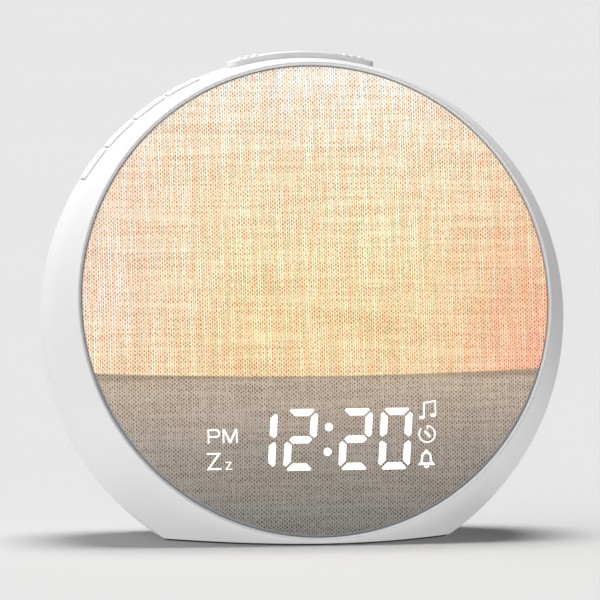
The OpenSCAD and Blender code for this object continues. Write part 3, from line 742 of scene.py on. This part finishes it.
def make_note():
    """Sign of the alarm sounds: two notes under one beam."""
    x, y = 31.7, -38.3
    stem, beam = 0.42, 0.45
    left, right, rise = x + 1.65, x + 5.35, 0.75
    top = y + 5.3
    stems = [
        (left, y + 0.6), (left, top), (right + stem, top + rise), (right + stem, y + 1.3),
        (right, y + 1.3), (right, top + rise - beam - 0.1), (left + stem, top - beam + 0.1),
        (left + stem, y + 0.6),
    ]
    sign = plate("lit_note", [stems])
    for head_x, head_y in ((left + stem - 0.95, y + 0.52), (right + stem - 1.0, y + 1.22)):
        combine(sign, plate("head", [dot(head_x, head_y, 0.92, 0.58)]), "UNION")
    return drape(sign)


def make_timer():
    """Sign of the timer: an open ring with a hand."""
    x, y, outer, inner = 34.4, -43.1, 2.78, 2.38
    ring = arc(x, y, outer, 88, -225, 48) + arc(x, y, inner, -225, 88, 48)
    sign = plate("lit_timer", [ring])
    tick = [
        (x - 0.05, y + outer - 0.02), (x + 0.32, y + outer - 0.1),
        (x + 0.32, y + 1.55), (x - 0.05, y + 1.45),
    ]
    combine(sign, plate("tick", [tick]), "UNION")
    half, reach = 0.4, 0.95
    level = arc(-reach, 0, half, 90, 270, 8) + arc(reach, 0, half, -90, 90, 8)
    cos, sin = math.cos(math.radians(-48)), math.sin(math.radians(-48))
    hand = [(px * cos - py * sin + x + 0.15, px * sin + py * cos + y) for px, py in level]
    return drape(joined("lit_timer", [sign, plate("hand", [hand])]))


def make_bell():
    """Sign of the alarm: a bell with its clapper."""
    x, foot = 34.05, -52.9
    outer = [
        (2.65, 0), (2.6, 0.25), (1.9, 1.05), (1.72, 2.0), (1.6, 3.2), (1.15, 3.95),
        (0.45, 4.3), (0.3, 4.8),
    ]
    inner = [(1.2, 0.75), (1.12, 2.2), (0.95, 3.15), (0.35, 3.6)]
    bell = plate("lit_bell", [both_sides(x, foot, outer), both_sides(x, foot, inner)])
    clapper = plate("clapper", [arc(x, foot - 0.25, 0.85, 180, 360, 12, 0.85)])
    return drape(joined("lit_bell", [bell, clapper]))


ribs = make_bar_ribs()
cloth = make_cloth()
lit_signs = [make_digits(), make_pm(), make_sleep_sign(), make_note(), make_timer(), make_bell()]


# ---------------------------------------------------------------- material helpers

def colour(red, green, blue):
    """A colour given as it shows, 0 to 255, turned into light."""
    def light(value):
        value /= 255
        return value / 12.92 if value <= 0.04045 else ((value + 0.055) / 1.055) ** 2.4
    return (light(red), light(green), light(blue), 1)


def feed(tree, socket, value):
    """Gives a socket a number or a colour, or links another node's socket to it."""
    if isinstance(value, bpy.types.NodeSocket):
        tree.links.new(value, socket)
    else:
        socket.default_value = value


def put(tree, kind, inputs=None, **settings):
    """Adds a shader node; inputs are numbers, colours or other nodes' sockets."""
    made = tree.nodes.new("ShaderNode" + kind)
    for name, value in settings.items():
        setattr(made, name, value)
    for key, value in (inputs or {}).items():
        feed(tree, made.inputs[key], value)
    return made


def maths(tree, operation, *values):
    return put(tree, "Math", dict(enumerate(values)), operation=operation).outputs[0]


def blend_colours(tree, share, first, second, kind="MIX"):
    """The first colour at a share of 0, the second at 1."""
    colours = {0: share, 6: first, 7: second}
    return put(tree, "Mix", colours, data_type="RGBA", blend_type=kind).outputs[2]


def spread(tree, value, low, high, to_low=0.0, to_high=1.0, soft=False):
    """Maps low..high to to_low..to_high, held at the ends."""
    limits = {0: value, 1: low, 2: high, 3: to_low, 4: to_high}
    kind = "SMOOTHSTEP" if soft else "LINEAR"
    return put(tree, "MapRange", limits, interpolation_type=kind).outputs[0]


def start_group(name, inputs, outputs):
    tree = bpy.data.node_groups.new(name, "ShaderNodeTree")
    kinds = {"v": "NodeSocketVector", "f": "NodeSocketFloat"}
    for label, kind, default in inputs:
        socket = tree.interface.new_socket(name=label, in_out="INPUT", socket_type=kinds[kind])
        socket.default_value = default
    for label in outputs:
        tree.interface.new_socket(name=label, in_out="OUTPUT", socket_type=kinds["f"])
    return tree, tree.nodes.new("NodeGroupInput"), tree.nodes.new("NodeGroupOutput")


def use_group(tree, group, **inputs):
    made = tree.nodes.new("ShaderNodeGroup")
    made.node_tree = group
    for name, value in inputs.items():
        feed(tree, made.inputs[name], value)
    return made


def start_material(name):
    material = bpy.data.materials.new(name)
    material.use_nodes = True
    return material, material.node_tree, material.node_tree.nodes["Principled BSDF"]


def object_place(tree):
    return tree.nodes.new("ShaderNodeTexCoord").outputs["Object"]


def bump(tree, shader, height, depth, strength=1.0):
    made = put(tree, "Bump", {"Height": height, "Strength": strength, "Distance": depth})
    tree.links.new(made.outputs[0], shader.inputs["Normal"])


# ---------------------------------------------------------------- shared effects

# from yarn to yarn across and up the face, and how far a yarn strays, in millimetres
YARN_PITCH = 0.73
YARN_RISE = 0.62
YARN_WANDER = 0.6


def make_grain_group():
    """Fine texture of a moulded or cast face, with slow changes of tone over it."""
    tree, given, result = start_group(
        "moulded_grain",
        [("Vector", "v", (0, 0, 0)), ("Grain", "f", 2500.0), ("Cloud", "f", 40.0), ("Pits", "f", 0.3)],
        ["Height", "Tone"],
    )
    where = given.outputs["Vector"]
    fine = put(tree, "TexNoise", {"Vector": where, "Scale": given.outputs["Grain"], "Detail": 3.0})
    cells = put(tree, "TexVoronoi", {"Vector": where, "Scale": given.outputs["Grain"]})
    slow = put(tree, "TexNoise", {"Vector": where, "Scale": given.outputs["Cloud"], "Detail": 4.0})
    pits = maths(tree, "MULTIPLY", cells.outputs["Distance"], given.outputs["Pits"])
    height = maths(tree, "ADD", fine.outputs[0], pits)
    tree.links.new(height, result.inputs["Height"])
    tree.links.new(spread(tree, slow.outputs[0], 0.3, 0.7), result.inputs["Tone"])
    return tree


def noise(tree, spot, detail):
    return put(tree, "TexNoise", {"Vector": spot, "Scale": 1.0, "Detail": detail}).outputs[0]


def yarn_count(tree, where, value, pitch, stretch, offset):
    """Counts the yarns along one way; each strays slowly to either side."""
    spot = put(tree, "Mapping", {"Vector": where, "Scale": stretch, "Location": (offset, 0, 0)})
    stray = maths(tree, "SUBTRACT", noise(tree, spot.outputs[0], 2.0), 0.5)
    stray = maths(tree, "MULTIPLY", stray, YARN_WANDER)
    return maths(tree, "DIVIDE", maths(tree, "ADD", value, stray), pitch)


def yarn_thickness(tree, count, travel, offset):
    """A slow change of thickness along each yarn, no two yarns alike."""
    row = maths(tree, "MULTIPLY", maths(tree, "ROUND", count), 5.37)
    run = maths(tree, "MULTIPLY_ADD", travel, 0.03, offset)
    return noise(tree, put(tree, "CombineXYZ", {0: row, 1: run}).outputs[0], 2.0)


def wave(tree, kind, count, half_turns):
    return maths(tree, kind, maths(tree, "MULTIPLY", count, half_turns * math.pi))


def make_weave_group():
    """Loose weave of uneven yarn in a plane, with its place in millimetres."""
    tree, given, result = start_group(
        "uneven_weave",
        [("Vector", "v", (0, 0, 0))],
        ["Height", "Gap", "Thread", "Upright Yarn", "Level Yarn"],
    )
    where = given.outputs["Vector"]
    axes = put(tree, "SeparateXYZ", {0: where})
    x, y = axes.outputs[0], axes.outputs[1]
    across = yarn_count(tree, where, x, YARN_PITCH, (0.3, 0.02, 1), 3)
    along = yarn_count(tree, where, y, YARN_RISE, (0.02, 0.3, 1), 9)
    upright = maths(tree, "MULTIPLY_ADD", wave(tree, "COSINE", across, 2), 0.5, 0.5)
    beside = maths(tree, "SUBTRACT", 1.0, upright)
    # between two upright yarns the level ones dive under every other time, in turn
    turn = maths(tree, "MULTIPLY", wave(tree, "SINE", across, 1), wave(tree, "COSINE", along, 1))
    dive = maths(tree, "MULTIPLY_ADD", turn, 0.5, 0.5)
    level = maths(tree, "MULTIPLY", maths(tree, "SUBTRACT", 1.0, dive), 0.75)
    made = {
        "Height": maths(tree, "MAXIMUM", upright, level),
        "Gap": maths(tree, "MULTIPLY", beside, dive),
        "Thread": upright,
        "Upright Yarn": yarn_thickness(tree, across, y, 21),
        "Level Yarn": yarn_thickness(tree, along, x, 33),
    }
    for name, socket in made.items():
        tree.links.new(socket, result.inputs[name])
    return tree


grain_group = make_grain_group()
weave_group = make_weave_group()


# ---------------------------------------------------------------- materials

BLACK, WHITE = (0, 0, 0, 1), (1, 1, 1, 1)


def moulded(
    name, shade, roughness,
    metallic=0.0, grain=2500.0, depth=0.02, variation=0.06, pits=0.3,
):
    """A moulded, cast or pressed finish with grain, slow tone changes and uneven gloss."""
    material, tree, shader = start_material(name)
    effect = use_group(tree, grain_group, Vector=object_place(tree), Grain=grain, Pits=pits)
    tone = effect.outputs["Tone"]
    pale = colour(*shade)
    darker = tuple(c * (1 - variation) for c in pale[:3]) + (1,)
    tree.links.new(blend_colours(tree, tone, darker, pale), shader.inputs["Base Color"])
    gloss = spread(tree, tone, 0, 1, roughness - 0.05, roughness + 0.05)
    tree.links.new(gloss, shader.inputs["Roughness"])
    shader.inputs["Metallic"].default_value = metallic
    bump(tree, shader, effect.outputs["Height"], depth * MM, 0.5)
    return material


# how the unlit cloth shows, and the colours the cloth gives off, by millimetres of height; below the
# divider that is light leaking from inside plus painted light, the unlit cloth painted darker towards
# the bottom of the dome
CLOTH_SHADE = (112, 109, 105)
GLOW_AND_PAINTED_LIGHT_STOPS = (
    (-75, (130, 127, 122)), (-66, (140, 136, 131)), (-58.3, (150, 143, 134)),
    (-48.7, (164, 155, 146)), (-39, (180, 167, 153)), (-33, (190, 175, 158)),
    (-25.5, (198, 181, 162)), (-24.4, (176, 158, 138)),
)
LAMP_STOPS = (
    (-24, (246, 224, 176)), (-8, (246, 227, 176)), (15, (246, 232, 185)),
    (45, (248, 235, 198)), (72, (251, 245, 226)),
)
LAMP_LEFT = (247, 227, 200)
LAMP_RIGHT = (248, 190, 158)
LAMP_LEFT_REACH = (-20, -70)
LAMP_RIGHT_REACH = (22, 78)
DIVIDER_LOW, DIVIDER_RISE = -24.3, 2.1
DIVIDER_SOFT = (-0.25, 0.35)
# where the cloth rolls over, in millimetres inside its edge; nearer the edge where it is lit
ROLL_FROM, ROLL_TO = 0.75, 0.45
ROLL_LIT_SHIFT = 0.35

# the cloth's own colours, a paler colour painted on its rolled edge to lighten the shade in the gap
# there, and what the yarns and gaps do to the light behind, unlit and lit
YARN_SHADE = colour(159, 156, 152)
GAP_SHADE = colour(72, 66, 58)
ROLLED_PAINTED_LIGHT = colour(192, 195, 200)
PLAIN_YARN = WHITE, (1.0, 0.96, 0.93, 1)
PALE_YARN = (1.37, 1.37, 1.37, 1), (1.2, 1.45, 1.8, 1)
GAP_UNLIT = (0.4, 0.34, 0.26, 1)
GAP_RED, GAP_BROWN = (0.88, 0.22, 0.06, 1), (0.62, 0.34, 0.13, 1)
THIN_YARN = (0.94, 0.9, 0.86, 1)
FUZZ = (0.62, 0.56, 0.5, 1)
FUZZ_UNLIT, FUZZ_LIT = 0.55, 0.3
YARN_DEPTH = 0.2 * MM


def given_off_light(shown):
    """The light the cloth gives off where it shows this colour: the lamp's light through it, and below
    the divider painted light as well.
    """
    return [max(0, a - b) for a, b in zip(colour(*shown)[:3], colour(*CLOTH_SHADE)[:3])] + [1]


def height_ramp(tree, height, stops):
    """Colours by height on the face."""
    reach = CLOTH_R / MM
    made = put(tree, "ValToRGB", {0: spread(tree, height, -reach, reach)})
    ramp = made.color_ramp
    while len(ramp.elements) < len(stops):
        ramp.elements.new(1)
    for element, (level, shown) in zip(ramp.elements, stops):
        element.position = (level + reach) / (2 * reach)
        element.color = given_off_light(shown)
    return made.outputs[0]


def face_place(tree):
    """The place on the face in millimetres: X across, Y up the face, Z out of it."""
    return put(tree, "Mapping", {
        "Vector": object_place(tree), "Location": (0, -ORIGIN_Y, FACE_Z),
        "Rotation": (math.pi / 2 - FACE_LEAN, 0, 0), "Scale": (MM, MM, MM),
    }, vector_type="TEXTURE").outputs[0]


def lamp_share(tree, x, y):
    """1 where the lamp lights the cloth, 0 below the bowed divider."""
    bow = maths(tree, "POWER", maths(tree, "DIVIDE", x, CLOTH_R / MM), 2.0)
    divider = maths(tree, "MULTIPLY_ADD", bow, DIVIDER_RISE, DIVIDER_LOW)
    return spread(tree, maths(tree, "SUBTRACT", y, divider), *DIVIDER_SOFT, soft=True)


def lamp_colours(tree, x, y):
    """The lamp's light: yellow low down, paler higher up, pink at the left, orange at the right."""
    left = spread(tree, x, *LAMP_LEFT_REACH, soft=True)
    left = maths(tree, "MULTIPLY", left, spread(tree, y, -24, 2, 0.42, 1.0))
    right = spread(tree, x, *LAMP_RIGHT_REACH, soft=True)
    right = maths(tree, "MULTIPLY", right, spread(tree, y, 38, -24, 0.3, 1.0))
    light = height_ramp(tree, y, LAMP_STOPS)
    light = blend_colours(tree, left, light, tuple(given_off_light(LAMP_LEFT)))
    return blend_colours(tree, right, light, tuple(given_off_light(LAMP_RIGHT)))


def patches(tree, place, scale, detail, within, becomes=(0.0, 1.0)):
    """Uneven patches over the cloth, about scale of them to a millimetre."""
    made = put(tree, "TexNoise", {"Vector": place, "Scale": scale, "Detail": detail})
    return spread(tree, made.outputs[0], *within, *becomes)


def open_gaps(tree, place, gap, thin):
    """How far each gap between the yarns stands open, wider along thin level yarns."""
    broad = patches(tree, place, 0.12, 4.0, within=(0.35, 0.65), becomes=(0.35, 0.55))
    fine = patches(tree, place, 1.3, 2.0, within=(0.35, 0.65), becomes=(0.35, 1.65))
    loose = maths(tree, "MULTIPLY", maths(tree, "MULTIPLY_ADD", thin, 0.7, broad), fine)
    return spread(tree, maths(tree, "MULTIPLY", gap, loose), 0.1, 0.7)


def yarn_tints(tree, place, weave, lamp, thin, open_gap):
    """What the yarns and the gaps do to the light behind; thick yarns stand out pale."""
    thick = spread(tree, weave.outputs["Upright Yarn"], 0.42, 0.62)
    share = maths(tree, "MULTIPLY_ADD", thick, 1.0, 0.12)
    pale = maths(tree, "MULTIPLY", weave.outputs["Thread"], share)
    plain_tint = blend_colours(tree, lamp, *PLAIN_YARN)
    pale_tint = blend_colours(tree, lamp, *PALE_YARN)
    browner = patches(tree, place, 0.9, 1.0, within=(0.4, 0.6))
    gap_tint = blend_colours(tree, lamp, GAP_UNLIT, blend_colours(tree, browner, GAP_RED, GAP_BROWN))
    yarns = blend_colours(tree, pale, plain_tint, pale_tint)
    tints = blend_colours(tree, open_gap, yarns, gap_tint)
    return blend_colours(tree, maths(tree, "MULTIPLY", thin, 0.5), tints, THIN_YARN, "MULTIPLY")


def rolled_edge(tree, x, y, lamp):
    """1 at the edge, where the cloth rolls over the panel's rim; narrower where the lamp lights it.
    There the cloth gives off no light and is painted a paler colour, which lightens the shade in the
    gap.
    """
    spot = put(tree, "CombineXYZ", {0: x, 1: y}).outputs[0]
    far = put(tree, "VectorMath", {0: spot}, operation="LENGTH").outputs["Value"]
    far = maths(tree, "MULTIPLY_ADD", lamp, -ROLL_LIT_SHIFT, far)
    return spread(tree, far, CLOTH_R / MM - ROLL_FROM, CLOTH_R / MM - ROLL_TO)


def make_cloth_material():
    """Woven cloth with the lamp's light behind it, and below the divider a faint glow of light leaking
    from inside and of painted light, darker towards the bottom.
    """
    material, tree, shader = start_material("face_cloth")
    place = face_place(tree)
    axes = put(tree, "SeparateXYZ", {0: place})
    x, y = axes.outputs[0], axes.outputs[1]
    weave = use_group(tree, weave_group, Vector=place)
    lamp = lamp_share(tree, x, y)
    thin = spread(tree, weave.outputs["Level Yarn"], 0.38, 0.62)
    open_gap = open_gaps(tree, place, weave.outputs["Gap"], thin)
    rolled = rolled_edge(tree, x, y, lamp)

    # below the divider the cloth glows faintly: light leaking from inside, and painted light that is
    # darker towards the bottom
    light = blend_colours(tree, lamp, height_ramp(tree, y, GLOW_AND_PAINTED_LIGHT_STOPS), lamp_colours(tree, x, y))
    tints = yarn_tints(tree, place, weave, lamp, thin, open_gap)
    light = blend_colours(tree, 1.0, light, tints, "MULTIPLY")
    fuzz = patches(tree, place, 3.2, 1.0, within=(0.4, 0.65))
    fuzz = maths(tree, "MULTIPLY", fuzz, spread(tree, lamp, 0, 1, FUZZ_UNLIT, FUZZ_LIT))
    light = blend_colours(tree, fuzz, light, FUZZ, "MULTIPLY")
    light = blend_colours(tree, rolled, light, BLACK)
    tree.links.new(light, shader.inputs["Emission Color"])
    shader.inputs["Emission Strength"].default_value = 1.0

    shade = blend_colours(tree, open_gap, YARN_SHADE, GAP_SHADE)
    # painted light: the rolled edge is coloured paler than the cloth, to lighten the shade in the gap
    # round it
    shade = blend_colours(tree, rolled, shade, ROLLED_PAINTED_LIGHT)
    tree.links.new(shade, shader.inputs["Base Color"])
    shader.inputs["Roughness"].default_value = 0.9
    shader.inputs["Specular IOR Level"].default_value = 0.2
    bump(tree, shader, weave.outputs["Height"], YARN_DEPTH, 0.9)
    return material


def make_lit_material():
    """Light of the display, as it stands on the cloth."""
    material, tree, shader = start_material("segment_light")
    effect = use_group(tree, grain_group, Vector=object_place(tree), Grain=900.0)
    shades = blend_colours(tree, effect.outputs["Tone"], (0.93, 0.93, 0.93, 1), WHITE)
    tree.links.new(shades, shader.inputs["Emission Color"])
    tree.links.new(shades, shader.inputs["Base Color"])
    shader.inputs["Emission Strength"].default_value = 1.0
    shader.inputs["Roughness"].default_value = 0.8
    return material


def make_board_material():
    """Solder mask with copper tracks under it."""
    material, tree, shader = start_material("green_board")
    where = object_place(tree)
    effect = use_group(tree, grain_group, Vector=where, Grain=1500.0)
    tracks = put(tree, "TexBrick", {
        "Vector": where, "Scale": 180.0, "Mortar Size": 0.03,
        "Color1": BLACK, "Color2": (0.15, 0.15, 0.15, 1), "Mortar": WHITE,
    })
    mask = blend_colours(tree, effect.outputs["Tone"], colour(18, 72, 42), colour(26, 92, 54))
    tinted = blend_colours(tree, tracks.outputs["Color"], mask, colour(60, 122, 70))
    tree.links.new(tinted, shader.inputs["Base Color"])
    shader.inputs["Roughness"].default_value = 0.35
    bump(tree, shader, tracks.outputs["Color"], 0.03 * MM, 0.4)
    return material


# shade, roughness and what else sets each finish apart
FINISHES = {
    "housing_plastic": ((238, 238, 238), 0.5, {"depth": 0.012, "variation": 0.015}),
    "key_plastic": ((240, 240, 240), 0.45, {"depth": 0.01, "variation": 0.015}),
    "foot_rubber": ((34, 34, 36), 0.85, {"grain": 1800.0, "depth": 0.05}),
    "diffuser_plastic": ((240, 236, 226), 0.6, {}),
    "foam_tape": ((210, 208, 200), 0.95, {"grain": 4000.0, "depth": 0.08, "pits": 1.0}),
    "white_plastic": ((242, 242, 240), 0.5, {}),
    "white_board": ((232, 234, 230), 0.4, {}),
    "led_resin": ((244, 214, 120), 0.25, {"grain": 900.0}),
    "black_plastic": ((30, 30, 32), 0.5, {"variation": 0.2}),
    "segment_resin": ((236, 236, 232), 0.3, {}),
    "speaker_steel": ((120, 122, 126), 0.4, {"metallic": 1.0, "grain": 1200.0}),
    "cone_paper": ((38, 36, 34), 0.9, {"grain": 1500.0, "depth": 0.1, "variation": 0.3}),
    "ferrite": ((52, 50, 50), 0.6, {"grain": 3000.0, "variation": 0.2, "pits": 0.8}),
    "steel": ((176, 178, 182), 0.3, {"metallic": 1.0, "grain": 1500.0, "variation": 0.15}),
    "ribbon_plastic": ((196, 198, 202), 0.4, {}),
    "lead_plastic": ((176, 34, 32), 0.45, {}),
}
materials = {
    name: moulded(name, shade, roughness, **more)
    for name, (shade, roughness, more) in FINISHES.items()
}
materials["green_board"] = make_board_material()
materials["face_cloth"] = make_cloth_material()
lit_material = make_lit_material()


def dress(piece, material):
    piece.data.materials.clear()
    piece.data.materials.append(material)


for name, part in nodes.items():
    for slot in part.material_slots:
        slot.material = materials[slot.material.name.split(".")[0]]
for piece in (front_shell, rear_shell):
    dress(piece, materials["housing_plastic"])
for piece in keys + [ribs]:
    dress(piece, materials["key_plastic"])
dress(cloth, materials["face_cloth"])
for piece in lit_signs:
    dress(piece, lit_material)


# ---------------------------------------------------------------- light and floor

FLOOR_REACH = 30
FLOOR_SHADES = colour(158, 158, 158), colour(159, 159, 159)
BOUNCE_SHADE = colour(126, 126, 126)
BACKDROP = colour(234, 234, 234)
ROOM_BRIGHT_WAY = (-0.8, 0.0, 0.6)
ROOM_BRIGHT, ROOM_FAINT = 2.15, 0.12

# strength, softness in degrees, and the way the light comes from
OVERHEAD = (1.75, 30, (0.03, 0.15, 1))
UNDERNEATH = (1.9, 45, (0.1, -0.3, -1))
FLOOR_LIGHT = (3.55, 30, (0.06, 0.15, 1))


def make_floor():
    """A pale floor; soft light from below passes it, as it stands for light off the table."""
    bpy.ops.object.select_all(action="DESELECT")
    bpy.ops.mesh.primitive_plane_add(size=2 * FLOOR_REACH)
    floor = fresh("floor")
    material, tree, shader = start_material("pale_floor")
    effect = use_group(tree, grain_group, Vector=object_place(tree), Grain=400.0, Cloud=2.0)
    shade = blend_colours(tree, effect.outputs["Tone"], *FLOOR_SHADES)
    # the clock gets less light off the floor than the floor's own brightness would give
    bounced = tree.nodes.new("ShaderNodeLightPath").outputs["Is Diffuse Ray"]
    shade = blend_colours(tree, bounced, shade, BOUNCE_SHADE)
    tree.links.new(shade, shader.inputs["Base Color"])
    shader.inputs["Roughness"].default_value = 1.0
    shader.inputs["Specular IOR Level"].default_value = 0.0
    dress(floor, material)
    floor.visible_shadow = False
    return floor


def add_sun(name, strength, softness, come_from):
    data = bpy.data.lights.new(name, "SUN")
    data.energy = strength
    data.angle = math.radians(softness)
    light = bpy.data.objects.new(name, data)
    bpy.context.scene.collection.objects.link(light)
    light.rotation_euler = Vector(come_from).to_track_quat("Z", "Y").to_euler()
    return light


def shine_only_on(light, piece):
    """Keeps a lamp's light to one piece; the others still cast their shadow in it."""
    reached = bpy.data.collections.new(light.name + "_reach")
    reached.objects.link(piece)
    light.light_linking.receiver_collection = reached


def make_room():
    """Soft light from all round, stronger from the left; the room itself shows pale gray."""
    world = bpy.data.worlds.new("room")
    bpy.context.scene.world = world
    world.use_nodes = True
    tree = world.node_tree
    way = tree.nodes.new("ShaderNodeTexCoord").outputs["Generated"]
    to_left = put(tree, "VectorMath", {0: way, 1: ROOM_BRIGHT_WAY}, operation="DOT_PRODUCT")
    window = maths(tree, "POWER", maths(tree, "MAXIMUM", to_left.outputs["Value"], 0.0), 3.0)
    strength = maths(tree, "MULTIPLY_ADD", window, ROOM_BRIGHT, ROOM_FAINT)
    soft = put(tree, "Background", {"Color": WHITE, "Strength": strength})
    plain = put(tree, "Background", {"Color": BACKDROP, "Strength": 1.0})
    rays = tree.nodes.new("ShaderNodeLightPath")
    seen = rays.outputs["Is Camera Ray"]
    for kind in ("Is Glossy Ray", "Is Transmission Ray"):
        seen = maths(tree, "MAXIMUM", seen, rays.outputs[kind])
    either = put(tree, "MixShader", {0: seen, 1: soft.outputs[0], 2: plain.outputs[0]})
    tree.links.new(either.outputs[0], tree.nodes["World Output"].inputs["Surface"])


ground = make_floor()
make_room()
add_sun("overhead", *OVERHEAD)
add_sun("underneath", *UNDERNEATH)
shine_only_on(add_sun("floor_light", *FLOOR_LIGHT), ground)

bpy.context.scene.view_settings.view_transform = "Standard"
